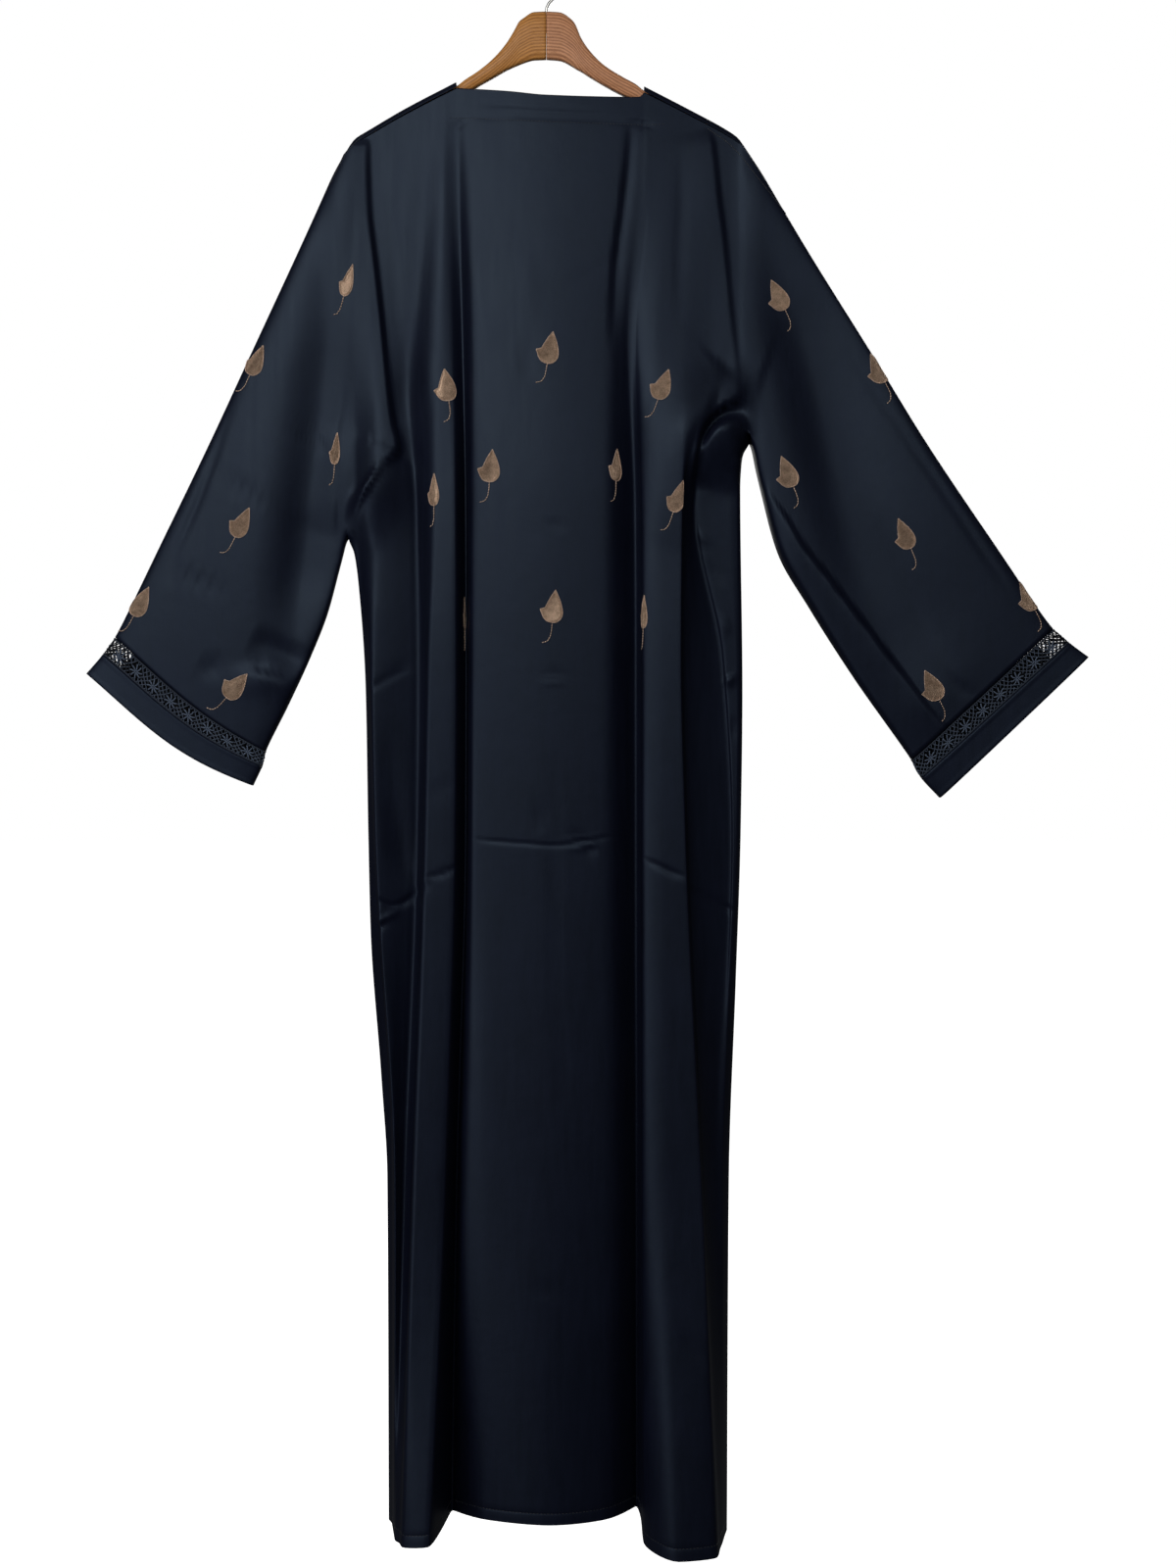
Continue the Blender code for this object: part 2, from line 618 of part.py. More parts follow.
def sleeve_end(side, stations, lace, cuff):
    """The lace insertion and the cuff band, each a ring round the end of the sleeve."""
    for name, first, last, material in (
        (f"lace_{side}", LACE_TOP + END_GAP, CUFF_TOP - END_GAP, lace),
        (f"cuff_{side}", CUFF_TOP + END_GAP, CUFF_HEM, cuff),
    ):
        grid = ring(stations, first, last)
        cloth(name, [turned_to(grid, 1)], material, -1, closed=True)


# ---- hanger ----
def arm_section(across, top, bottom, half):
    """A rounded bar section at one place along an arm, in a plane across it."""
    top_edge = min(ARM_TOP_EDGE, (bottom - top) * 0.3)
    flat = 0.45 * half
    middle = 0.74 * half
    return [
        (across, top, flat),
        (across, top + 0.35 * top_edge, middle),
        (across, top + top_edge, half),
        (across, bottom - ARM_BOTTOM_EDGE, half),
        (across, bottom - 0.3 * ARM_BOTTOM_EDGE, middle),
        (across, bottom, flat),
    ]


def hidden_arm(side):
    """The arm's stations under the cloth, from the neck out to its rounded end."""
    start = ARM_LEFT[-1][0] if side < 0 else ARM_RIGHT[-1][0]
    rows = []
    for share in ARM_SHARES:
        across = start + share * (side * ARM_END - start)
        top = float(shoulder_crest(across)) + ARM_BELOW_CLOTH
        rows.append((across, top, top + ARM_DEPTH_AT_NECK))
    top = float(shoulder_crest(side * ARM_END)) + ARM_BELOW_CLOTH
    bottom = top + ARM_DEPTH_AT_NECK
    rows.append((side * (ARM_END - ARM_END_ROUND), top, bottom - ARM_END_ROUND / 2))
    rows.append((side * ARM_END, top + ARM_END_ROUND, bottom - 1.5 * ARM_END_ROUND))
    return rows


def hanger_arm(name, rows, side, material):
    rows = [(side * MITRE_GAP / 2, *rows[0][1:])] + list(rows[1:]) + hidden_arm(side)
    bm = bmesh.new()
    rings = []
    for k, (across, top, bottom) in enumerate(rows):
        half = HANGER_HALF_THICKNESS * (0.6 if k == len(rows) - 1 else 1)
        half_ring = arm_section(across, top, bottom, half)
        points = half_ring + [(a, d, -o) for a, d, o in reversed(half_ring)]
        rings.append([bm.verts.new(place(*point)) for point in points])
    for inner, outer in zip(rings[:-1], rings[1:]):
        for k in range(len(inner)):
            following = (k + 1) % len(inner)
            bm.faces.new((inner[k], inner[following], outer[following], outer[k]))
    bm.faces.new(rings[0])
    bm.faces.new(rings[-1])
    bmesh.ops.recalc_face_normals(bm, faces=bm.faces)
    mesh = bpy.data.meshes.new(name)
    bm.to_mesh(mesh)
    bm.free()
    return add_object(name, mesh, material)


def wood_top():
    """World height, in millimetres, of the mitre's top where the hook goes in."""
    return -NECK_POINT_BELOW_HOOK - HANGER_TOP_DROP


def hook_path():
    """Up the stem, out to one side and over the rod, ending past its far side."""
    radius = HOOK_INSIDE_RADIUS + HOOK_WIRE / 2
    centre = -HOOK_INSIDE_RADIUS
    bend = centre - radius - STEM_BEND
    arc = []
    for k in range(HOOK_STEPS + 1):
        angle = math.radians(HOOK_FROM_ANGLE + (HOOK_TO_ANGLE - HOOK_FROM_ANGLE) * k / HOOK_STEPS)
        arc.append((radius * math.cos(angle), centre + radius * math.sin(angle)))
    stem = [(0, wood_top() - HOOK_IN_WOOD + MITRE_GAP), (0, wood_top() + 1), (0, bend)]
    joint = [(0.12 * arc[0][0], bend + 0.4 * STEM_BEND), (0.52 * arc[0][0], arc[0][1] - 0.38 * STEM_BEND)]
    return stem + joint + arc


def hook(material):
    curve = bpy.data.curves.new("hook", "CURVE")
    curve.dimensions = "3D"
    curve.bevel_depth = HOOK_WIRE / 2 * MM
    curve.bevel_resolution = 2
    curve.use_fill_caps = True
    spline = curve.splines.new("POLY")
    points = hook_path()
    spline.points.add(len(points) - 1)
    for point, (x, z) in zip(spline.points, points):
        point.co = (x * MM, 0, z * MM, 1)
    add_object("hook", curve, material)


def hook_hole(arms):
    """Bores the hook's hole into the top of the mitre."""
    depth = HOOK_IN_WOOD + STEM_BEND / 2
    bpy.ops.mesh.primitive_cylinder_add(
        vertices=16,
        radius=(HOOK_WIRE / 2 + HOOK_HOLE_CLEARANCE) * MM,
        depth=depth * MM,
        location=(0, 0, (wood_top() - HOOK_IN_WOOD + depth / 2) * MM),
    )
    cutter = bpy.context.active_object
    cutter.name = "hook_hole"
    cutter.hide_render = True
    cutter.display_type = "WIRE"
    for collection in cutter.users_collection:
        collection.objects.unlink(cutter)
    bpy.data.collections["cutters"].objects.link(cutter)
    for arm in arms:
        cut = arm.modifiers.new("hook_hole", "BOOLEAN")
        cut.operation = "DIFFERENCE"
        cut.solver = "EXACT"
        cut.object = cutter


def main():
    for obj in list(bpy.data.objects):
        bpy.data.objects.remove(obj)
    for name in ("abaya_on_hanger", "cutters"):
        bpy.context.scene.collection.children.link(bpy.data.collections.new(name))
    satin = new_material("black_satin", (0.012, 0.015, 0.022), 0.5)
    lace = new_material("black_lace", (0.010, 0.011, 0.015), 0.8)
    band = new_material("black_band", (0.010, 0.012, 0.020), 0.55)
    wood = new_material("brown_wood", (0.36, 0.19, 0.09), 0.45)
    steel = new_material("bright_wire", (0.6, 0.6, 0.6), 0.3, 1.0)
    back(satin)
    front("front_left", FRONT_FOLDS_LEFT, FRONT_NECK_LEFT, SLEEVE_LEFT, SIDE_LEFT, -1, satin)
    front("front_right", FRONT_FOLDS_RIGHT, FRONT_NECK_RIGHT, SLEEVE_RIGHT, SIDE_RIGHT, 1, satin)
    sleeve_end("left", SLEEVE_LEFT, lace, band)
    sleeve_end("right", SLEEVE_RIGHT, lace, band)
    arms = [
        hanger_arm("hanger_arm_left", ARM_LEFT, -1, wood),
        hanger_arm("hanger_arm_right", ARM_RIGHT, 1, wood),
    ]
    hook(steel)
    hook_hole(arms)


main()
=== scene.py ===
"""Finishes of a long open abaya on its wooden hanger: satin, lace, leaf embroidery, wood and wire.

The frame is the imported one: the origin is the inside top of the hook, +Z is up and -Y is the back
of the garment. Lengths in the tables are millimetres: across is measured from the middle line,
drop downwards from the level of the neck point, and out from the seam plane.
"""

import functools
import math

import bmesh
import bpy
import numpy as np
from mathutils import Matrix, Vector
from mathutils.bvhtree import BVHTree


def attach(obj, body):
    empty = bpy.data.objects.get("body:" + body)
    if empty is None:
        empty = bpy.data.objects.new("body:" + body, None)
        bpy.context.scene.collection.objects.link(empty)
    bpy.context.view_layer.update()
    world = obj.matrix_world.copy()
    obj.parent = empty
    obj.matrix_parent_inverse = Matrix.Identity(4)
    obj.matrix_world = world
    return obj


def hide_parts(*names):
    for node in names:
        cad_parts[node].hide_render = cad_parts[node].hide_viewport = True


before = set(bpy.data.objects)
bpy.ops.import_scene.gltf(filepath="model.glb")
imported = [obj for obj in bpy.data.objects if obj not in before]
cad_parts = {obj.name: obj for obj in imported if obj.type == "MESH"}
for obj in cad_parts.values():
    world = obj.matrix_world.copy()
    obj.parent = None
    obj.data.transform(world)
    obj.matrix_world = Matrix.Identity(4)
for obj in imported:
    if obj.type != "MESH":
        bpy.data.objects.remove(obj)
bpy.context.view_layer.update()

MM = 0.001

# ---- sizes shared with the solids ----
NECK_POINT_BELOW_HOOK = 126.7
EDGE_CLEARANCE = 0.02
EDGE_WALL = 3.0
END_GAP = 0.012
BOW_ACROSS = 0.56
BOW_DOWN = 0.83
SHOULDER_FORWARD = 20.0
SHOULDER_SPAN = 230.0
FORWARD_LEFT_AT_HEM = 0.3
SLEEVE_HEAD = 396.0
SHOULDER_DEPTH = 22.0
EDGE_ROUNDNESS = 0.17
BACK_SEAM_DROP = 7.0
FRONT_ROLL_DROP = 11.0
BACK_YOKE = 116.0
FRONT_YOKE = 176.0
KNEE = 1116.0
HEM = 1476.0
HOOK_WIRE = 3.0
HOOK_INSIDE_RADIUS = 20.0
HOOK_IN_WOOD = 22.0
HOOK_FROM_ANGLE = -62.0
HOOK_TO_ANGLE = 208.0
STEM_BEND = 9.0
HANGER_TOP_DROP = -71.7
HANGER_HALF_THICKNESS = 6.5
MITRE_GAP = 0.3
ARM_BELOW_CLOTH = 3.2
ARM_DEPTH_AT_NECK = 16.5
ARM_END = 199.0

# ---- sizes of the finish ----
CLOTH = 0.7
COLUMN_SPACING = 7.6
NARROW_GAP = 16.0
NARROW_SPACING = 4.0
FINE_COLUMNS = {"left_turn": 9, "left_round": 12, "p2_ridge": 9, "side_slope": 6}
ROW_SPACINGS = ((0, 5.2), (476, 8), (592, 2.4), (626, 8), (762, 2.1), (812, 2.6), (866, 9.5))
SLEEVE_ROWS_PER_STATION = 11
ROLL_BEHIND = (6.7, 6.2, 5.2, 4, 2.6, 1.2, 0.4)
ROLL_BEFORE = (0, 0.5, 1.4, 2.8, 4.6, 6.8, 9, 11)
HEM_FOLD = 12.0
HEM_ROWS = (14, 12.8, 12, 11.2, 9.5, 5, 2, 0.8)
WELD = 0.02
YOKE_ROWS = 26
SEAM_LEFT_BEHIND_FOLD = 0.12
RING_STEPS = 60
LEAST_OUT = 3.0
HEM_GROOVE = 0.5
STITCH_LIFT = 0.15
EDGE_STITCH_DROPS = (70, 1440)
EDGE_STITCH_IN = 11.0
ARMHOLE_EASE = 0.85
ARMHOLE_EASE_WIDTH = 8.0
EASE_PASSES = 10
WALK_STEP = 1.2
CUFF_DEPTH = 20.0
CUFF_WALL = 1.0
PIPING = 0.9
PIPING_IN = 1.3
PIPING_WIDTH = 1.2
CUFF_HEM_ROLL = 0.5
FLOWER_SPACING = 23.5
NET_SPACING = 5.4
NET_SLANT = 1.0
NET_THREAD = 0.52
NET_THREAD_AT_FOLD = 0.85
OPEN_NET_AT_FOLD = 28.0
NET_SHADE = 0.62
EDGE_CORD_SHADE = 0.25
EDGE_CORD_IN = 0.5
EDGE_CORD_WIDTH = 0.8
EDGE_CORD_HEIGHT = 0.45
# painted shade: the dark sheet behind the forward half of the lace
SHADE_SHEET_HEIGHT = 0.1
SHADE_SHEET_LIFT = -0.2
NET_HEIGHT = 0.3
NET_IN = 0.3
FLOWER_CLEAR = 0.8
PETAL_BEND = 0.5
EYE_RADIUS = 1.3
# What shows of each strip in metres: along its middle round the sleeve, and its mean width from seam to seam.
LACE_CUT_LEFT, LACE_CUT_RIGHT = (0.42, 0.019), (0.43, 0.0206)
CUFF_CUT_LEFT, CUFF_CUT_RIGHT = (0.432, 0.0253), (0.44, 0.0265)
PETALS = 8
PETAL_FROM = 1.9
PETAL_REACH = 7.3
PETAL_WIDTH = 0.72
ARM_SIDES = 28
ARM_SQUARENESS = 0.55
ARM_STEP = 0.7
ARM_TIP = 5.0
ARM_TIP_RINGS = 7
WIRE_SIDES = 16
LACE_ROUND_STEPS = 720
LACE_OVER_STEPS = 8
THREAD_LIFT = 0.35
# spacing, length and width of the stitches
RIM_STITCH = (1.1, 1.7, 1.15)
STEM_STITCH = (2.5, 2.9, 1.15)
PLAIN_STITCH = (3.6, 2.5, 0.55)
SEAM_STITCH = (2.4, 2.6, 0.8)

# ---- one embroidered leaf, in millimetres from the top of its stem ----
LEAF_OUTLINE = (
    (0, 0), (5, 1), (9, 6), (9.5, 12), (7, 20), (3.5, 27), (0, 33), (-3.5, 27), (-6.5, 20), (-8.5, 14.5),
    (-13.5, 12.5), (-11.5, 8.5), (-9.5, 4.5), (-6, 1),
)
LEAF_CORNERS = ((0, 33), (-8.5, 14.5), (-13.5, 12.5))
LEAF_MIDDLE = (0, 12)
LEAF_RINGS = ((1, -0.2), (0.985, 0.3), (0.75, 0.62), (0.4, 0.8))
LEAF_DOME = 0.85
LEAF_STEM = ((0, 0), (0, -9), (-0.5, -14), (-3, -19), (-7, -20.5))

# ---- camera and light ----
CAMERA_PLACE = (0.0425, -2.3, -0.8427)
CAMERA_LENS = 51.75
FLOOR_BELOW = -1.66
FLOOR_SIZE = 60.0
# name, place, aim, width, height, power, colour
LIGHTS = (
    ("key", (-0.85, -2.05, 0.4), (0.0, 0.0, -0.35), 1.5, 1.1, 26, (1, 0.99, 0.95)),
    ("fill", (0.75, -2.1, 0.2), (0.3, 0.0, -0.4), 0.9, 0.9, 5.5, (1, 0.99, 0.95)),
    ("low_fill", (-1.45, -1.5, -1.15), (-0.1, 0.0, -1.35), 0.7, 0.8, 6, (0.97, 0.97, 1)),
    ("front_key", (0.85, 2.05, 0.4), (0.0, 0.0, -0.4), 1.6, 1.1, 30, (1, 0.99, 0.95)),
    ("front_fill", (-0.6, 2.2, 0.1), (-0.2, 0.0, -0.6), 1.0, 1.2, 8, (1, 0.99, 0.95)),
)
WORLD_LIGHT = 0.05

# ---- outlines: (across, drop) ----
SHOULDER_LEFT = ((-207.5, 66), (-206, 62), (-199.5, 56), (-182.5, 46), (-146.5, 26), (-92, 0))
SHOULDER_RIGHT = ((100, 4), (146.5, 26), (185.5, 46), (200.5, 56), (205.5, 61), (207, 66))
BACK_NECK = ((-87.5, 7.5), (-70.5, 9), (-37.5, 12), (0, 16), (42.5, 17), (94.5, 16))
FRONT_NECK_LEFT = ((-91, 18), (-86, 38), (-76, 66), (-58, 97), (-34, 122), (-3, 138))
FRONT_NECK_RIGHT = ((3, 138), (36, 124), (64, 100), (84, 69), (94, 41), (99, 21))
SIDE_LEFT = (
    (66, -207.5), (462, -203.5), (480, -197), (516, -192), (616, -185), (766, -182), (866, -179.5),
    (1016, -168.5), (1116, -162.5), (1476, -161),
)
SIDE_RIGHT = (
    (66, 207), (364, 208.5), (380, 201), (416, 198.5), (616, 200.5), (766, 198.5), (916, 193.5), (1116, 186.5),
    (1476, 184.5),
)

# ---- sleeves: one row for each station, from the armhole to the hem of the cuff ----
# name, upper across, upper drop, under across, under drop, half depth, bow of the line
SLEEVE_LEFT = (
    ("armhole", -207.5, 66, -203.5, 462, 22, 0),
    ("upper_arm", -252.5, 166, -212.5, 496, 23, 0),
    ("elbow", -298.5, 266, -224.5, 541, 22, 1),
    ("forearm", -344.5, 366, -242.5, 587, 20, 2),
    ("wrist", -392.5, 466, -264.5, 635, 17, 4),
    ("lace_top", -441.5, 566, -287.5, 682.5, 14, 7),
    ("cuff_top", -453.5, 583, -291.5, 697.5, 13.5, 9),
    ("cuff_hem", -470.5, 603, -300.5, 717.5, 13, 11.5),
)
SLEEVE_RIGHT = (
    ("armhole", 207, 66, 208.5, 364, 22, 0),
    ("upper_arm", 266.5, 166, 220.5, 416, 23, 0),
    ("elbow", 328.5, 266, 237.5, 479, 22, 0),
    ("forearm", 389, 366, 270.5, 537, 20, 0),
    ("wrist", 455.5, 466, 315.5, 608, 17, 0),
    ("lace_top", 518.5, 557, 373.5, 691, 14, 0),
    ("cuff_top", 534.5, 571, 383.5, 709, 13.5, 0),
    ("cuff_hem", 554.5, 586, 402.5, 730, 13, 0),
)
LACE_TOP = 5
CUFF_TOP = 6
CUFF_HEM = 7

# ---- folds of the body: one row for each line that runs down the cloth ----
# name, across at each level, out at each level, drop of the hem
LEVELS = (0, 116, 266, 436, 586, 766, 1116, 1476)
BACK_FOLDS = (
    ("left_turn", (-200, -200, -199, -196, -184, -177, -158, -157), (10, 16.5, 22, 14, 9, 8, 8, 14), 1467),
    ("left_round", (-182, -180, -178, -174, -175, -172, -153, -151.5), (11, 14, 19, 20, 20, 19.5, 23, 50), 1469),
    ("left_slope", (-167, -166, -162, -141, -139, -140.5, -149, -150.8), (11, 13.5, 15, 7.8, 6.4, 6.4, 17, 54), 1470),
    ("left_recess", (-152, -152, -147, -133, -131, -132.5, -144, -150), (11, 13, 11.5, 3.6, 3, 3, 12, 58), 1470),
    ("p1_foot", (-122, -121, -127, -125, -122.5, -125.5, -136, -145), (11, 13, 15.5, 14, 13, 14, 24, 66), 1470),
    ("p1_crest", (-106, -106, -111, -113, -118.5, -121.5, -132.5, -141), (11, 14, 18.5, 25, 30.5, 32, 45, 78), 1470),
    ("p1_right", (-98, -98, -96, -93, -92, -93, -102, -115), (11, 13, 16, 24.5, 28.5, 30, 42, 86), 1467),
    ("valley_left", (-92, -90, -86, -83, -82.5, -83, -92, -97), (11, 12, 7.5, 4, 4, 4, 4, 4), 1458),
    ("centre_foot", (-90, -88, -84.6, -81.6, -81, -81.5, -90.5, -95.5), (11, 12, 7.5, 4, 4, 4, 4, 4), 1457),
    ("centre_left", (-84, -79.5, -75.2, -74.4, -74.5, -75, -84, -92), (11, 13.5, 19.5, 25, 26, 27, 26, 9), 1456),
    ("centre_in", (-60, -60, -60, -60, -61, -61, -67, -66), (11, 14, 21, 28, 29, 30, 34, 34), 1455),
    ("centre_mid", (2, 2, 2, 2, 2, 2, 2, 4), (11, 14, 22, 30, 32, 34, 42, 54), 1455),
    ("centre_out", (66, 62, 62, 60, 60, 60, 62, 60), (11, 14, 19, 27, 29, 30, 35, 40), 1454),
    ("centre_right", (92, 83, 76, 77.5, 78, 78.5, 83, 88), (11, 13, 14.5, 16, 17, 17, 17, 11), 1452),
    ("valley_right", (100, 95, 84, 90, 90.5, 90.5, 91.5, 92), (11, 12, 11, 4, 4, 4, 4, 4), 1453),
    ("p2_foot", (104, 101, 90, 94.5, 95, 95, 95.5, 96), (11, 12.5, 12.4, 10.5, 11, 11, 11, 12), 1462),
    ("p2_left", (108, 107, 95, 97.5, 98, 97.5, 97.5, 98), (11, 13, 15, 23.5, 26.5, 27, 29.5, 44), 1476),
    ("p2_mid", (127, 126, 114, 113, 116, 118, 124, 132), (11, 14, 20, 30, 33, 34, 41, 82), 1483),
    ("p2_ridge", (148, 147, 138, 137, 135.5, 139.5, 155, 170), (11, 14, 21, 32, 35, 35, 42, 74), 1482),
    ("side_slope", (172, 171, 171, 139.5, 139.5, 144, 160, 175), (11, 14, 18, 23, 24, 24, 30, 52), 1480),
    ("side_fold", (186, 185, 185, 151, 178, 188, 173, 178.5), (11, 14, 18, 7, 4, 5, 16, 36), 1479),
    ("side_strip", (195, 195, 195, 157, 182.5, 190.5, 179, 181), (10, 15, 19, 8, 7.5, 8.5, 13, 22), 1478),
    ("right_turn", (201, 202, 203, 194, 196, 194, 183, 183), (10, 17, 21, 5, 6, 8, 8, 11), 1478),
)
FRONT_FOLDS_LEFT = (
    ("left_turn", (-200, -200, -199, -196, -184, -177, -158, -157), (10, 15, 20, 13, 9, 8, 8, 14), 1467),
    ("left_round", (-174, -173, -172, -172, -168, -160, -147, -142), (12, 15, 20, 24, 26, 30, 42, 62), 1468),
    ("left_hollow", (-142, -141, -138, -134, -130, -124, -118, -114), (12, 14, 15, 12, 11, 11, 11, 11), 1463),
    ("left_foot", (-118, -117, -113, -108, -105, -103, -102, -100), (12, 14, 18, 24, 27, 32, 42, 60), 1465),
    ("left_fold", (-106, -104, -101, -96, -93, -90, -87, -83), (12, 14, 20, 30, 35, 41, 54, 76), 1466),
    ("neck_fall", (-92, -88, -82, -76, -72, -70, -66, -62), (12, 13, 15, 13, 12, 12, 12, 14), 1461),
    ("front_hollow", (-82, -74, -64, -58, -55, -54, -52, -50), (11, 13, 14, 11, 11, 11, 11, 11), 1460),
    ("front_round", (-50, -46, -38, -34, -32, -31, -30, -29), (12, 14, 19, 25, 28, 31, 39, 50), 1463),
    ("front_in", (-26, -24, -18, -16, -15, -15, -16, -17), (13, 15, 18, 22, 24, 26, 30, 38), 1463),
    ("front_edge", (-3, -3, -3.5, -4, -5, -6, -8, -10), (13, 15, 16, 17, 18, 19, 20, 24), 1462),
)
FRONT_FOLDS_RIGHT = (
    ("front_edge", (3, 3, 3.5, 4, 4, 3, 2, 2), (13, 15, 16, 16, 17, 18, 21, 26), 1462),
    ("front_in", (22, 20, 18, 16, 16, 17, 18, 20), (13, 15, 19, 23, 25, 28, 34, 44), 1464),
    ("front_round", (46, 42, 40, 38, 38, 39, 40, 42), (12, 14, 19, 24, 27, 30, 36, 46), 1464),
    ("front_hollow", (88, 78, 68, 64, 62, 61, 60, 59), (11, 13, 14, 11, 11, 11, 11, 11), 1460),
    ("neck_fall", (100, 96, 88, 80, 77, 75, 73, 71), (12, 13, 15, 15, 15, 16, 18, 22), 1462),
    ("right_fold", (112, 110, 108, 103, 100, 99, 98, 96), (12, 14, 20, 31, 37, 43, 58, 82), 1470),
    ("right_foot", (126, 124, 121, 117, 114, 113, 113, 113), (12, 14, 17, 23, 27, 31, 40, 58), 1470),
    ("right_hollow", (148, 147, 144, 137, 137, 136, 132, 130), (12, 14, 15, 11, 11, 11, 11, 11), 1466),
    ("right_round", (178, 177, 176, 168, 173, 172, 162, 158), (12, 15, 20, 20, 24, 29, 40, 58), 1474),
    ("right_turn", (201, 202, 203, 194, 196, 194, 183, 182), (10, 15, 20, 12, 10, 8, 8, 12), 1476),
)

# ---- drapes and troughs that cross the cloth ----
# name, width on its left, width on its right, then its path: (across, drop, height)
BACK_DRAPES = (
    (
        "left_underarm_drape", 3.6, 52,
        (
            (-185, 56, 0), (-185, 66, 3), (-183.5, 124, 4.5), (-176.5, 188, 5.5), (-170.5, 241, 6.5),
            (-164.5, 300, 7.5), (-158.5, 347, 9.5), (-152, 374, 11), (-168, 388, 12), (-183, 414, 10),
            (-196, 436, 7), (-203, 464, 0),
        ),
    ),
    (
        "right_shoulder_fold", 3.5, 30,
        (
            (164, 46, 0), (168, 62, 2.6), (174, 118, 3.2), (179, 156, 3), (185, 218, 2.6), (191, 276, 2.4),
            (195, 304, 2), (198, 316, 0),
        ),
    ),
    (
        "right_underarm_arch", 3, 38,
        (
            (236, 244, 0), (221, 288, 2.5), (207, 315, 8), (193, 326, 13), (178, 333, 16), (165, 345, 17),
            (156, 359, 16), (151.5, 376, 13), (147.5, 404, 8), (145.5, 440, 4), (144, 480, 0),
        ),
    ),
    (
        "right_underarm_inner", 46, 7,
        (
            (214, 350, 0), (202, 350, 14), (189, 350, 21), (177, 355, 24), (167, 366, 22), (158, 382, 15),
            (151, 410, 0),
        ),
    ),
    (
        "left_underarm_shade", 32, 3,
        ((-152, 376, 0), (-166, 394, 10), (-182, 414, 16), (-196, 436, 14), (-207, 470, 0)),
    ),
    (
        "left_sleeve_trough", 62, 27,
        (
            (-214, 100, 0), (-220, 166, -4), (-219, 246, -9), (-226, 310, -13), (-233, 376, -15),
            (-240, 430, -17), (-247, 491, -17), (-252, 540, -12), (-250, 590, -5), (-245, 625, 0),
        ),
    ),
    (
        "right_sleeve_trough", 62, 40,
        (
            (216, 90, 0), (230, 145, -6), (250, 203, -12), (268, 260, -17), (284, 320, -18), (298, 385, -17),
            (310, 440, -15), (324, 490, -13), (342, 533, -10), (362, 577, -7), (400, 624, 0),
        ),
    ),
    (
        "right_sleeve_roll", 2, 30,
        (
            (222, 408, 0), (230.5, 427, 4), (242, 444, 6), (260.5, 475, 8), (286.5, 507, 9), (312.5, 540, 9),
            (338.5, 574, 9), (364.5, 608, 7), (388, 639, 6), (408, 662, 4), (424, 684, 0),
        ),
    ),
)
FRONT_DRAPES = (
    (
        "left_underarm_drape", 9, 50,
        ((-184, 80, 0), (-176, 230, 5), (-160, 330, 11), (-162, 390, 14), (-184, 428, 10), (-203, 464, 0)),
    ),
    (
        "right_underarm_drape", 50, 9,
        ((184, 80, 0), (178, 190, 5), (160, 290, 11), (164, 338, 12), (188, 354, 8), (208, 366, 0)),
    ),
    ("left_sleeve_trough", 26, 26, ((-230, 190, 0), (-262, 320, -9), (-290, 470, -9), (-300, 590, 0))),
    (
        "right_sleeve_trough", 26, 26,
        ((226, 160, 0), (262, 270, -8), (310, 400, -9), (350, 540, -6), (384, 620, 0)),
    ),
)

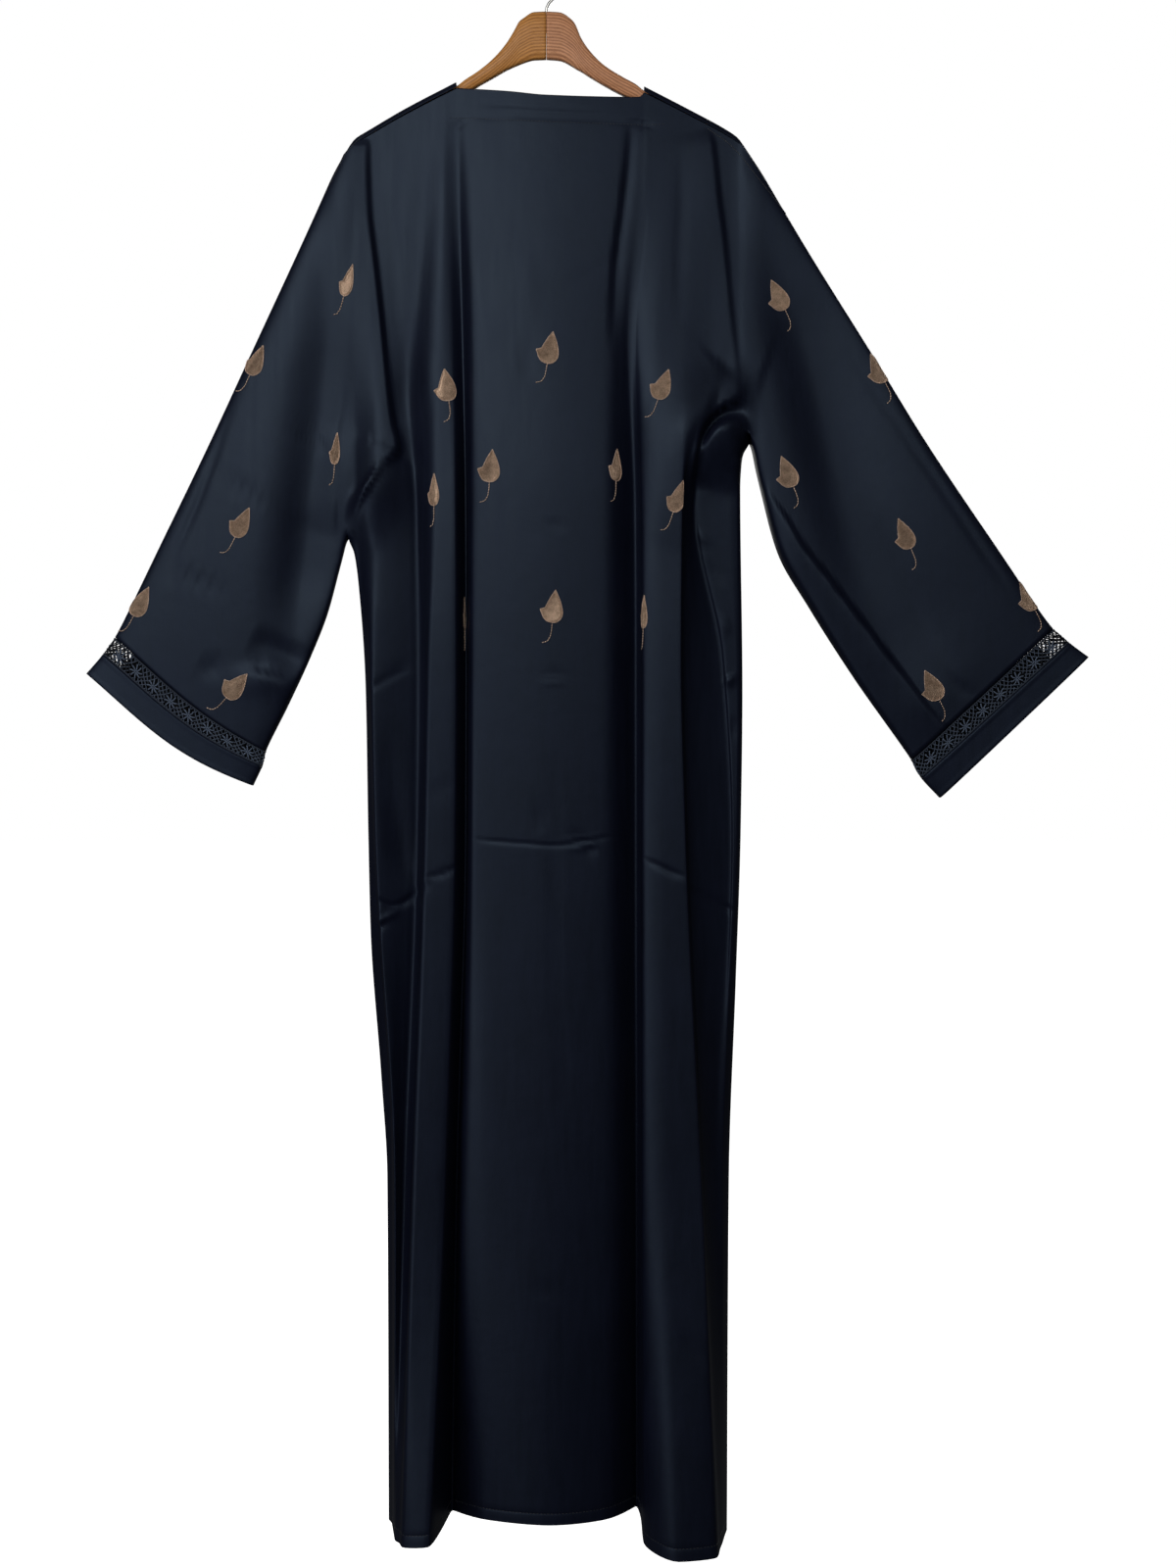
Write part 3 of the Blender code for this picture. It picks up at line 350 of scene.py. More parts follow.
# ---- creases: pressed lines are sharp above and soft below, or sharp on one side ----
# name, width on its left, width on its right, then its path: (across, drop, height)
BACK_CREASES = (
    (
        "middle", 1, 2.8,
        (
            (-75, 770, 0), (-60, 772, -1), (-20, 775, -1.25), (8, 777, -1.15), (30, 775, -1.4), (52, 770, -1.1),
            (76, 768, 0),
        ),
    ),
    ("pinch_down", 1.3, 2.4, ((30, 763, 0), (38, 772, -3.2), (46, 784, -2.4), (48, 797, 0))),
    ("pinch_up", 1.3, 2.2, ((26, 785, 0), (38, 776, 2.6), (54, 765, 0))),
    ("above_middle", 1.6, 3.5, ((-4, 728, 0), (-5, 750, -1.3), (-3, 768, 0))),
    ("p1_middle", 1.3, 4.2, ((-122, 810, 0), (-106, 806, -1.8), (-94, 800, -1.4), (-86, 797, 0))),
    (
        "left_middle", 1.4, 5,
        (
            (-180, 829, 0), (-168, 834, -2), (-156, 839, -2.6), (-140, 832, -2.4), (-127, 821, -2),
            (-119, 812, 0),
        ),
    ),
    ("left_panel_slope", 9, 14, ((-160, 650, 0), (-156, 720, -2), (-148, 780, -3.5), (-138, 822, 0))),
    ("left_corner_upper", 1.6, 4, ((-177, 842, 0), (-168, 853, 2.4), (-158, 848, 2.2), (-148, 838, 0))),
    ("left_corner_lower", 1.6, 4, ((-178, 880, 0), (-170, 862, -2.2), (-158, 852, 0))),
    ("right_middle", 1.4, 4.6, ((94, 788, 0), (112, 796, -2), (126, 803, -2.4), (142, 810, 0))),
    (
        "side_middle", 1.5, 5,
        ((143, 817, 0), (156, 826, -2.6), (172, 835, -2.8), (186, 842, -2.2), (198, 846, 0)),
    ),
    ("left_high", 5, 3, ((-182, 622, 0), (-172, 616, -1.2), (-150, 603, -1), (-128, 592, 0))),
    ("p1_high", 1.8, 4, ((-118, 725, 0), (-104, 719, -1.2), (-90, 712, 0))),
    ("oval_top", 1.5, 3, ((-6, 607, 0), (8, 603, -0.5), (22, 608, 0))),
    ("oval_foot", 1.5, 3, ((-8, 613, 0), (6, 615, 0.5), (18, 611, 0))),
    ("leaf_light", 4, 3, ((-19, 176, 0), (-16, 225, 1.2), (-15, 262, 0))),
    ("leaf_dark", 2.4, 4, ((-14, 246, 0), (-16, 282, -1.6), (-21, 318, 0))),
    ("shoulder_slant", 2.5, 5, ((5, 222, 0), (45, 196, -0.9), (84, 178, 0))),
    (
        "right_fold", 9, 2,
        ((85, 40, 0), (84, 60, -2.2), (78, 124, -3.6), (70, 187, -3.6), (67, 240, -2), (66, 275, 0)),
    ),
    ("p2_dimple", 9, 4, ((137, 60, 0), (137, 110, -0.8), (134, 190, -1), (134, 260, 0))),
    ("neck_left_fold", 9, 9, ((-92, 30, 0), (-91, 100, -2.4), (-89, 200, -3), (-87, 280, -2), (-85, 340, 0))),
    (
        "neck_left_round", 11, 11,
        ((-124, 50, 0), (-127, 140, -2), (-131, 220, -3.5), (-139, 300, -4), (-141, 350, 0)),
    ),
    ("p1_pinch", 1.8, 4, ((-119, 268, 0), (-119, 305, 1.8), (-121, 338, 0))),
    ("small_high", 2, 3, ((0, 452, 0), (11, 455, -1), (22, 460, 0))),
    ("small_low", 2, 4, ((-14, 1066, 0), (0, 1070, -1.3), (18, 1075, 0))),
    ("small_lower", 2, 4, ((-18, 1216, 0), (4, 1222, -1.3), (32, 1229, 0))),
    ("press_line", 3, 5, ((7, 640, 0), (9, 800, -0.9), (14, 960, -0.9), (26, 1150, 0))),
    ("left_low", 2.2, 6, ((-164, 1046, 0), (-148, 1050, -2), (-134, 1052, 0))),
    ("right_low", 2.5, 6, ((134, 1264, 0), (148, 1280, -1.8), (166, 1296, 0))),
    ("side_pucker_high", 2, 4, ((154, 458, 0), (160, 464, 2), (167, 470, 0))),
    ("side_pucker_dip", 2, 4, ((166, 490, 0), (172, 499, -2.4), (180, 506, 0))),
    ("side_pucker_mid", 2, 5, ((174, 560, 0), (180, 554, 2.6), (188, 548, 0))),
    ("side_pucker_low", 2, 6, ((180, 614, 0), (186, 609, 2.6), (195, 602, 0))),
    ("side_pucker_last", 2, 6, ((184, 662, 0), (189, 660, -2), (196, 650, 0))),
    ("neck_press", 1.5, 2.6, ((-76, 23, 0), (-40, 25.5, -0.8), (10, 28, -0.8), (58, 30.5, 0))),
    ("neck_stitching", 1.8, 1.8, ((-76, 37, 0), (-70, 37, -0.9), (105, 43.5, -0.9), (110, 44, 0))),
    ("neck_tuck_left", 1.8, 3, ((-100, 48, 0), (-88, 44, -1.4), (-78, 38, 0))),
    ("neck_tuck_right", 1.8, 3, ((84, 42, 0), (98, 44, -1.4), (114, 45, 0))),
    ("armpit_wedge", 2, 2.4, ((195, 304, 0), (199, 311, -3), (205, 318, -2.4), (211, 325, 0))),
    ("left_sleeve_line", 3, 1.8, ((-197, 120, 0), (-203, 245, -1.8), (-209, 309, -1.9), (-215, 369, 0))),
    ("left_sleeve_gusset", 2, 4, ((-216, 390, 0), (-204, 404, -2), (-190, 419, 0))),
    ("left_sleeve_low_line", 1.8, 3, ((-212, 400, 0), (-212, 440, -1.4), (-212, 466, 0))),
    ("left_sleeve_cross", 2, 4.5, ((-400, 492, 0), (-360, 505, -1.6), (-316, 525, 0))),
    ("left_elbow_cross", 2, 5, ((-338, 397, 0), (-306, 416, -1.5), (-274, 446, 0))),
    ("left_inner_cross", 2, 5, ((-264, 346, 0), (-240, 360, -1.6), (-218, 380, 0))),
    (
        "left_wrist_trough", 9, 14,
        ((-300, 566, 0), (-286, 572, -4), (-262, 584, -6), (-246, 592, -4), (-238, 598, 0)),
    ),
    (
        "left_wrist_peak", 7, 16,
        ((-330, 608, 0), (-306, 606, 4), (-284, 608, 6), (-266, 616, 4), (-256, 622, 0)),
    ),
    ("left_wrist_dip", 5, 8, ((-354, 590, 0), (-340, 596, -3), (-326, 603, 0))),
    ("left_wrist_cross", 2, 5, ((-302, 586, 0), (-286, 598, -2), (-270, 608, 0))),
    ("left_edge_pucker", 2.5, 3, ((-312, 262, 0), (-306, 285, 1.6), (-300, 308, 0))),
    ("left_long_line", 5, 5, ((-318, 320, 0), (-352, 420, -1.6), (-396, 520, 0))),
    ("right_long_line", 4, 6, ((300, 262, 0), (360, 350, -1.2), (440, 470, -1.2), (480, 530, 0))),
    ("right_wrist_cross", 3, 7, ((402, 600, 0), (424, 618, -2), (446, 628, 0))),
    ("right_elbow_slope", 8, 8, ((330, 430, 0), (372, 520, -1.5), (410, 600, 0))),
)
FRONT_CREASES = (
    ("left_middle", 1.5, 4.6, ((-180, 826, 0), (-160, 836, -2.2), (-140, 830, -2), (-118, 816, 0))),
    ("left_inner", 1.5, 4.6, ((-106, 800, 0), (-84, 792, -1.8), (-66, 788, 0))),
    ("left_front", 1.4, 4.6, ((-50, 778, 0), (-30, 774, -1.8), (-8, 776, 0))),
    ("right_front", 1.4, 4.6, ((6, 780, 0), (28, 777, -1.8), (52, 782, 0))),
    ("right_inner", 1.5, 4.6, ((72, 790, 0), (92, 798, -2), (112, 802, 0))),
    ("right_middle", 1.5, 4.6, ((136, 816, 0), (158, 830, -2.2), (190, 842, 0))),
    ("left_neck_fall", 9, 6, ((-94, 60, 0), (-98, 160, -2.6), (-102, 300, 0))),
    ("right_neck_fall", 6, 9, ((104, 64, 0), (106, 170, -2.6), (108, 320, 0))),
    ("left_breast", 3, 7, ((-150, 250, 0), (-120, 268, -1.4), (-80, 276, 0))),
    ("right_breast", 3, 7, ((78, 262, 0), (112, 256, -1.4), (150, 236, 0))),
    ("left_sleeve_cross", 2.4, 5, ((-392, 486, 0), (-352, 500, -1.5), (-306, 520, 0))),
    ("left_elbow_cross", 2.6, 6, ((-330, 380, 0), (-292, 410, -1.6), (-250, 436, 0))),
    ("left_long_line", 5, 5, ((-254, 204, 0), (-304, 334, -1.4), (-372, 540, 0))),
    ("right_sleeve_cross", 2.4, 5, ((318, 450, 0), (352, 430, -1.4), (392, 404, 0))),
    ("right_elbow_cross", 2.6, 6, ((268, 400, 0), (300, 372, -1.6), (338, 352, 0))),
    ("right_long_line", 5, 5, ((260, 216, 0), (320, 320, -1.4), (452, 534, 0))),
    ("right_wrist_cross", 2.6, 6, ((384, 600, 0), (412, 590, -1.5), (444, 566, 0))),
    ("left_low", 2.5, 6, ((-150, 1100, 0), (-132, 1108, -1.6), (-110, 1112, 0))),
    ("right_low", 2.5, 6, ((112, 1210, 0), (134, 1222, -1.6), (158, 1230, 0))),
    ("left_under", 2.5, 6, ((-196, 470, 0), (-176, 492, -2), (-160, 520, 0))),
    ("right_under", 2.5, 6, ((200, 380, 0), (182, 404, -2), (164, 436, 0))),
)

# ---- stitched lines on the back: (across, drop) as seen from straight behind ----
NECK_STITCHES = ((-97, 36), (-72, 37), (-20, 39), (40, 41.5), (105, 43.5), (119, 43))
OVERARM_SEAMS = (
    ((165.5, 48), (183, 60), (197.5, 74), (214, 95), (234.5, 121), (258, 153), (281.5, 187), (302.5, 219)),
    ((-186, 53), (-204, 72), (-216, 95), (-227.5, 118), (-240, 146)),
)

# ---- embroidered leaves: place of the stem's top as seen from straight behind or in front ----
# across, drop, lean to the right in degrees, share of the width that shows
BACK_LEAVES = (
    (1, 287, 10, 1), (-99.5, 325, -8, 1), (114, 323.5, 18, 0.95), (-58, 408, 5, 1), (71, 407, 5, 0.85),
    (-114.5, 432, -2, 0.62), (129.5, 438.5, 18, 0.8), (-83.5, 558, 0, 0.7), (6, 551.5, 6, 1), (99, 557, 2, 0.6),
    (-206.5, 218, 16, 0.62), (-302.5, 298.5, 25, 0.95), (-216, 390, 4, 0.5), (-317.5, 464, 26, 0.9),
    (-421, 544.5, 28, 1), (-326.5, 628, 42, 1), (243.5, 232, -27, 1), (345.5, 306, -25, 1),
    (252, 412.5, -22, 1), (372, 475.5, -23, 0.9), (498.5, 538.5, -26, 1), (401, 630, -26, 1),
)
FRONT_LEAVES = (
    (-46, 292, -8, 1), (44, 290, 12, 1), (-112, 330, -14, 0.95), (118, 326, 16, 1), (-72, 410, -6, 1),
    (74, 412, 6, 1), (-128, 446, -2, 0.9), (138, 440, 14, 0.9), (-34, 520, 4, 1), (36, 556, 8, 1),
    (-98, 560, 0, 0.9), (104, 562, 6, 0.9), (-236, 228, 22, 1), (-250, 388, 16, 1), (-330, 470, 28, 1),
    (-338, 628, 40, 1), (246, 236, -26, 1), (256, 410, -22, 1), (370, 480, -24, 1), (404, 632, -26, 1),
)

# ---- hanger: (across, top drop, bottom drop), from the mitre out to where the cloth covers it ----
ARM_LEFT = (
    (0, -71.7, -23), (-12.5, -71.2, -22.5), (-23.5, -65, -19.5), (-27.5, -62, -18), (-32.5, -53, -16),
    (-40.5, -40, -12.5), (-54.5, -24, -5), (-69.5, -12, 3), (-84, -3, 12), (-91, 2.2, 17),
)
ARM_RIGHT = (
    (0, -71.7, -23), (13, -71, -22), (26.5, -63, -16), (29.5, -59, -14), (35.5, -45, -11), (43.5, -33, -6),
    (58.5, -18, 2.5), (78.5, -6, 12.5), (92, 1, 18), (99, 6.4, 22),
)


# ---- curves ----
def monotone(knots, values, at):
    """A smooth curve through the knots that never overshoots them.

    values holds one number for each knot, or a row for each knot with a number for every place in at.
    """
    x = np.asarray(knots, float)
    y = np.asarray(values, float)
    at = np.asarray(at, float)
    column = np.arange(len(at)) if y.ndim == 2 else 0
    y = y.reshape(len(x), -1)
    step = np.diff(x)[:, None]
    slope = np.diff(y, axis=0) / step
    tangent = np.zeros_like(y)
    tangent[0] = slope[0]
    tangent[-1] = slope[-1]
    before = 2 * step[1:] + step[:-1]
    after = step[1:] + 2 * step[:-1]
    same_way = slope[:-1] * slope[1:] > 0
    earlier = np.where(same_way, slope[:-1], 1)
    later = np.where(same_way, slope[1:], 1)
    tangent[1:-1] = np.where(same_way, (before + after) / (before / earlier + after / later), 0)
    k = np.clip(np.searchsorted(x, at, side="right") - 1, 0, len(x) - 2)
    t = np.clip((at - x[k]) / step[k, 0], 0, 1)
    rise = y[k + 1, column] - y[k, column]
    first = step[k, 0] * tangent[k, column]
    last = step[k, 0] * tangent[k + 1, column]
    return y[k, column] + t * (first + t * (3 * rise - 2 * first - last + t * (first + last - 2 * rise)))


def along(table, at):
    """Reads a table of (knot, value) rows as a smooth curve."""
    knots, values = zip(*table)
    return monotone(knots, values, at)


def smooth(value):
    value = np.clip(value, 0, 1)
    return value * value * (3 - 2 * value)


def forward(across, drop):
    """How far the seam plane lies forward of the hook: the hanger's arms curve to the front."""
    reach = np.sin(np.minimum(np.abs(across) / SHOULDER_SPAN, 1) * math.pi / 2) ** 2
    return SHOULDER_FORWARD * reach * (1 - (1 - FORWARD_LEFT_AT_HEM) * smooth(drop / 900))


def place(across, drop, back_out):
    """World position of a point that lies back_out behind the seam plane."""
    across, drop, back_out = np.broadcast_arrays(across, drop, back_out)
    y = forward(across, drop) - back_out
    return np.stack([across, y, -NECK_POINT_BELOW_HOOK - drop], axis=-1) * MM


def shoulder_crest(across):
    """Drop of the top of the shoulder, where the cloth turns over the hanger."""
    across = np.asarray(across, float)
    left = along(SHOULDER_LEFT, across)
    right = along(SHOULDER_RIGHT, across)
    return np.where(across < 0, left, right)


def edge_round(below_crest):
    """How far the cloth stands out at a distance below the fold that it hangs from."""
    share = np.clip(below_crest / SLEEVE_HEAD, 0, 0.5)
    return SHOULDER_DEPTH * (4 * share * (1 - share)) ** EDGE_ROUNDNESS


# ---- drapes and creases ----
def path_distance(path, across, drop):
    """Distance to a path, the side it is on (1 for the right of its course) and its height there."""
    points = np.asarray(path, float)
    nearest = np.full(np.shape(across), np.inf)
    side = np.zeros(np.shape(across))
    height = np.zeros(np.shape(across))
    for a, b in zip(points[:-1], points[1:]):
        course = b[:2] - a[:2]
        length = math.hypot(*course)
        t = np.clip(((across - a[0]) * course[0] + (drop - a[1]) * course[1]) / length**2, 0, 1)
        dx = across - a[0] - t * course[0]
        dy = drop - a[1] - t * course[1]
        distance = np.hypot(dx, dy)
        closer = distance < nearest
        nearest = np.where(closer, distance, nearest)
        side = np.where(closer, np.sign(course[0] * dy - course[1] * dx), side)
        height = np.where(closer, a[2] + t * (b[2] - a[2]), height)
    return nearest, side, height


@functools.lru_cache(maxsize=None)
def rounded_path(path, pieces=5):
    """The same path with its corners eased."""
    points = np.asarray(path, float)
    knots = np.concatenate([[0], np.cumsum(np.hypot(*np.diff(points[:, :2], axis=0).T))])
    at = np.linspace(0, knots[-1], pieces * (len(points) - 1) + 1)
    return np.stack([monotone(knots, points[:, k], at) for k in range(3)], axis=1)


def near_path(path, reach, across, drop):
    """Which places lie in the path's box, grown by reach."""
    corners = np.asarray(path, float)[:, :2]
    low, high = corners.min(0) - reach, corners.max(0) + reach
    return (across > low[0]) & (across < high[0]) & (drop > low[1]) & (drop < high[1])


def drapes(table, across, drop):
    """Sum of the drapes and troughs at a place on the cloth."""
    total = np.zeros(np.shape(across))
    for _, left_width, right_width, path in table:
        near = near_path(path, 3 * max(left_width, right_width), across, drop)
        if not near.any():
            continue
        distance, side, height = path_distance(rounded_path(path), across[near], drop[near])
        away = distance / np.where(side > 0, right_width, left_width)
        total[near] += height * np.exp(-(away**2))
    return total


def relief(side, across, drop):
    """Everything that crosses the cloth of the back (side 1) or of the fronts (side -1)."""
    return drapes(BACK_DRAPES + BACK_CREASES if side > 0 else FRONT_DRAPES + FRONT_CREASES, across, drop)


# ---- sleeves ----
def sleeve_point(stations, side, share, station):
    """Across, drop and out of a sleeve at a share of its width: 0 is the upper fold, 1 the underarm seam."""
    share, station = np.broadcast_arrays(np.asarray(share, float), np.asarray(station, float))
    count = np.arange(len(stations))
    upper_x, upper_z, under_x, under_z, depth, bow = (
        monotone(count, [row[k] for row in stations], station) for k in range(1, 7)
    )
    push = bow * np.sin(math.pi * share**1.25)
    across = upper_x + (under_x - upper_x) * share + push * BOW_ACROSS * np.sign(stations[0][1])
    drop = upper_z + (under_z - upper_z) * share + push * BOW_DOWN
    round_edge = (4 * share * (1 - share)) ** EDGE_ROUNDNESS
    fade = smooth((CUFF_TOP - station) / 2) * np.minimum(1, round_edge)
    out = depth * round_edge + relief(side, across, drop) * fade
    out = np.where(share > 0.5, np.maximum(out, EDGE_WALL), out)
    return across, drop, np.where(share < 1, out, 0)


def sleeve_stops(first, last):
    """Stations of a grid along the sleeve."""
    count = max(2, round((last - first) * SLEEVE_ROWS_PER_STATION))
    return np.linspace(first, last, count + 1)


def seam_moved(station):
    """How far the overarm seam has come up to the sleeve's upper fold: from 1 at the armhole."""
    return 1 - (1 - SEAM_LEFT_BEHIND_FOLD) * smooth(station)


def sleeve_half(stations, side, shares):
    """Half a sleeve, from the armhole to the lace, down to the wall of its underarm seam."""
    stops = sleeve_stops(0, LACE_TOP - END_GAP)
    share, station = np.meshgrid(shares, stops, indexing="ij")
    if side > 0:
        share = 1 - (1 - share) * (1 - shares[0] * seam_moved(station)) / (1 - shares[0])
    across, drop, out = sleeve_point(stations, side, share, station)
    end_across, end_drop, _ = sleeve_point(stations, side, 1, stops)
    wall = (end_across, end_drop, np.full(len(stops), EDGE_WALL))
    return [np.vstack([grid, line]) for grid, line in zip((across, drop, out), wall)]


# ---- body ----
def cloth_lines(table, at, drop):
    """Across and out of the folded cloth at positions among its named lines, each at its own drop."""
    shape = np.shape(drop)
    at, drop = np.broadcast_to(at, shape).ravel(), np.ravel(drop)
    count = np.arange(len(table))
    found = []
    for k in (1, 2):
        lines = np.array([monotone(LEVELS, row[k], drop) for row in table])
        found.append(monotone(count, lines, at).reshape(shape))
    return found


def columns(table):
    """Positions of the grid's columns, counted in named lines, close enough for the widest gap."""
    found = []
    for k, (one, other) in enumerate(zip(table[:-1], table[1:])):
        gap = max(math.hypot(b - a, d - c) for a, b, c, d in zip(one[1], other[1], one[2], other[2]))
        narrow = max(abs(b - a) for a, b in zip(one[1], other[1])) < NARROW_GAP
        count = max(3, math.ceil(gap / (NARROW_SPACING if narrow else COLUMN_SPACING)))
        count = max(count, FINE_COLUMNS.get(one[0], 0))
        found += [k + i / count for i in range(count)]
    return np.array(found + [len(table) - 1.0])


def body_drops(yoke):
    """Drops of the level rows below the yoke: closer where the cloth is creased and at the hem."""
    drops = [yoke]
    while drops[-1] < HEM - HEM_ROWS[0]:
        drops.append(drops[-1] + [spacing for start, spacing in ROW_SPACINGS if drops[-1] >= start][-1])
    return np.array([d for d in drops[1:] if d < HEM - HEM_ROWS[0] - 1] + [HEM - r for r in HEM_ROWS] + [HEM])


def yoke_levels():
    """Shares of the yoke's depth at its rows, closer together near its top edge."""
    return np.linspace(0, 1, YOKE_ROWS + 1) ** 1.4


def hem_shift(table, at, drop):
    """Rows below the knee spread so that the last one is the hem."""
    hem = monotone(np.arange(len(table)), [row[3] for row in table], at)
    return np.maximum(drop - KNEE, 0) / (HEM - KNEE) * (hem - HEM)


def on_shoulder(across):
    return (across <= SHOULDER_LEFT[-1][0]) | (across >= SHOULDER_RIGHT[0][0])


def top_edge_of(neck, below_crest):
    """A top edge that runs a fixed distance below the shoulder's crest, and along the neck between."""
    ends = ((SHOULDER_LEFT[-1][0], below_crest), (SHOULDER_RIGHT[0][0], SHOULDER_RIGHT[0][1] + below_crest))
    line = tuple(sorted(neck + tuple(e for e in ends if all(abs(e[0] - n[0]) > 1e-6 for n in neck))))

    def top_edge(across):
        across = np.asarray(across, float)
        return np.where(on_shoulder(across), shoulder_crest(across) + below_crest, along(line, across))

    return top_edge


def body_grid(table, side, top_edge, yoke, left=None, right=None):
    """Grid of the body. left and right are (stations, side seam), or None where the edge is open."""
    at = columns(table)
    level = yoke_levels()[:, None] * np.ones(len(at))
    across, _ = cloth_lines(table, at, level * yoke)
    drop = top_edge(across) + (yoke - top_edge(across)) * level
    _, out = cloth_lines(table, at, drop)
    hung = edge_round(np.maximum(drop - shoulder_crest(across), 0))
    yoke_part = [across, drop, np.where(on_shoulder(across), np.minimum(out, hung), out)]

    drops = body_drops(yoke)
    drop = drops[:, None] * np.ones(len(at))
    across, out = cloth_lines(table, at, drop)
    out = out - HEM_GROOVE * np.exp(-(((HEM - HEM_FOLD - drop) / 0.9) ** 2))
    below_part = [across, drop + hem_shift(table, at, drop), out]

    grid = [np.vstack(pair) for pair in zip(yoke_part, below_part)]
    grid[2] = np.maximum(grid[2] + relief(side, grid[0], grid[1]), LEAST_OUT)
    for edge, position in ((left, 0), (right, -1)):
        if edge is None:
            continue
        column = side_column(table, position, drops, top_edge, yoke, side, *edge)
        pairs = [(c[:, None], g) if position == 0 else (g, c[:, None]) for c, g in zip(column, grid)]
        grid = [np.hstack(pair) for pair in pairs]
    return grid


def side_column(table, position, drops, top_edge, yoke, side, stations, side_table):
    """The closed edge of the body: the armhole, then the wall of the side seam."""
    tip = float(top_edge(stations[0][1]))
    yoke_drops = tip + (yoke - tip) * yoke_levels()
    below = drops + hem_shift(table, position % len(table), drops)
    drops = np.concatenate([yoke_drops, below])
    shares = armhole_shares(stations, drops)
    armhole = sleeve_point(stations, side, shares, 0)
    seam_drops = drops[len(shares) :]
    seam = (along(side_table, seam_drops), seam_drops, np.full(len(seam_drops), EDGE_WALL))
    return [np.concatenate(pair) for pair in zip(armhole, seam)]


def armhole_shares(stations, drops):
    """Where rows of the body meet the armhole, as shares of its length."""
    top, armpit = stations[0][2], stations[0][4]
    return (drops[drops < armpit] - top) / (armpit - top)


def seam_wall(stations, body, position):
    """The short wall that turns in to the underarm and side seam: from its outer line to the seam."""
    stops = sleeve_stops(0, LACE_TOP - END_GAP)[::-1]
    across, drop, _ = sleeve_point(stations, 1, 1, stops)
    on_side = body[1][:, position] > stations[0][4]
    across = np.concatenate([across, body[0][on_side, position]])
    drop = np.concatenate([drop, body[1][on_side, position]])
    out = np.outer((EDGE_WALL, 0.5 * EDGE_WALL, EDGE_CLEARANCE), np.ones(len(drop)))
    return [np.tile(across, (3, 1)), np.tile(drop, (3, 1)), out]


def shoulder_roll(stations, table, side):
    """The front's cloth that turns over the shoulder and the sleeve's upper fold to the seam behind."""
    at = columns(table)
    across, _ = cloth_lines(table, at, np.zeros(len(at)))
    across = across[on_shoulder(across)]
    if side < 0:
        across = across[::-1]
    stops = sleeve_stops(0, LACE_TOP - END_GAP)
    head = stations[0][4] - stations[0][2]
    lines = []
    for falls, back_side, moved in ((ROLL_BEHIND, 1, seam_moved(stops)), (ROLL_BEFORE, -1, 1)):
        for fall in falls:
            shoulder = (across, shoulder_crest(across) + fall, edge_round(fall) + 0 * across)
            sleeve = sleeve_point(stations, back_side, fall / head * moved, stops)
            line = [np.concatenate(pair) for pair in zip(shoulder, sleeve)]
            lines.append((line[0], line[1], back_side * line[2]))
    return [np.array(part) for part in zip(*lines)]


def ring(stations, first, last):
    """A flattened tube round the sleeve between two stations: back, underarm, front, upper fold."""
    stops = sleeve_stops(first, last)
    shares = 0.5 - 0.5 * np.cos(math.pi * np.arange(RING_STEPS + 1) / RING_STEPS)
    loop = [(share, 1) for share in shares] + [(share, -1) for share in shares[-2:0:-1]]
    lines = []
    for share, back_side in loop:
        across, drop, out = sleeve_point(stations, back_side, share, stops)
        lines.append((across, drop, back_side * out))
    return [np.array(part).T for part in zip(*lines)]


# ---- meshes ----
def turned_to(grid, side):
    """World points of a grid whose depth is positive towards the back (side 1) or the front (-1)."""
    return place(grid[0], grid[1], side * grid[2])


def add_piece(name, mesh, material):
    obj = bpy.data.objects.new(name, mesh)
    obj.data.materials.clear()
    obj.data.materials.append(material)
    for face in obj.data.polygons:
        face.use_smooth = True
    bpy.context.scene.collection.objects.link(obj)
    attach(obj, "root")
    return obj


def mesh_of(name, points, faces):
    mesh = bpy.data.meshes.new(name)
    mesh.from_pydata(np.asarray(points, float).reshape(-1, 3).tolist(), [], [list(f) for f in faces])
    return mesh


def face_outwards(mesh):
    bm = bmesh.new()
    bm.from_mesh(mesh)
    bmesh.ops.recalc_face_normals(bm, faces=bm.faces)
    bm.to_mesh(mesh)
    bm.free()


def grid_faces(rows, count, start=0, closed=False):
    """Faces of a grid of points, whose numbers start at start and run along each row."""
    last = count if closed else count - 1
    return [
        (
            start + r * count + c,
            start + r * count + (c + 1) % count,
            start + (r + 1) * count + (c + 1) % count,
            start + (r + 1) * count + c,
        )
        for r in range(rows - 1)
        for c in range(last)
    ]


def welded(name, grids, outside, closed=False):
    """Welds grids of points into one sheet that looks to outside, a y direction.

    A closed ring looks outwards all round.
    """
    points, faces, start = [], [], 0
    for grid in grids:
        rows, count = grid.shape[:2]
        faces += grid_faces(rows, count, start, closed)
        points.append(grid.reshape(-1, 3))
        start += rows * count
    mesh = mesh_of(name, np.concatenate(points), faces)
    bm = bmesh.new()
    bm.from_mesh(mesh)
    bmesh.ops.remove_doubles(bm, verts=bm.verts, dist=WELD * MM)
    bmesh.ops.dissolve_degenerate(bm, edges=bm.edges, dist=WELD * MM / 10)
    bmesh.ops.recalc_face_normals(bm, faces=bm.faces)
    middle = sum((vert.co for vert in bm.verts), Vector()) / len(bm.verts)

    def looks_out(face):
        if closed:
            return face.normal.dot(face.calc_center_median() - middle)
        return face.normal.y * outside

    if sum(looks_out(face) * face.calc_area() for face in bm.faces) < 0:
        bmesh.ops.reverse_faces(bm, faces=bm.faces)
    bm.to_mesh(mesh)
    bm.free()
    return mesh


def points_of(mesh):
    points = np.empty(len(mesh.vertices) * 3)
    mesh.vertices.foreach_get("co", points)
    return points.reshape(-1, 3)


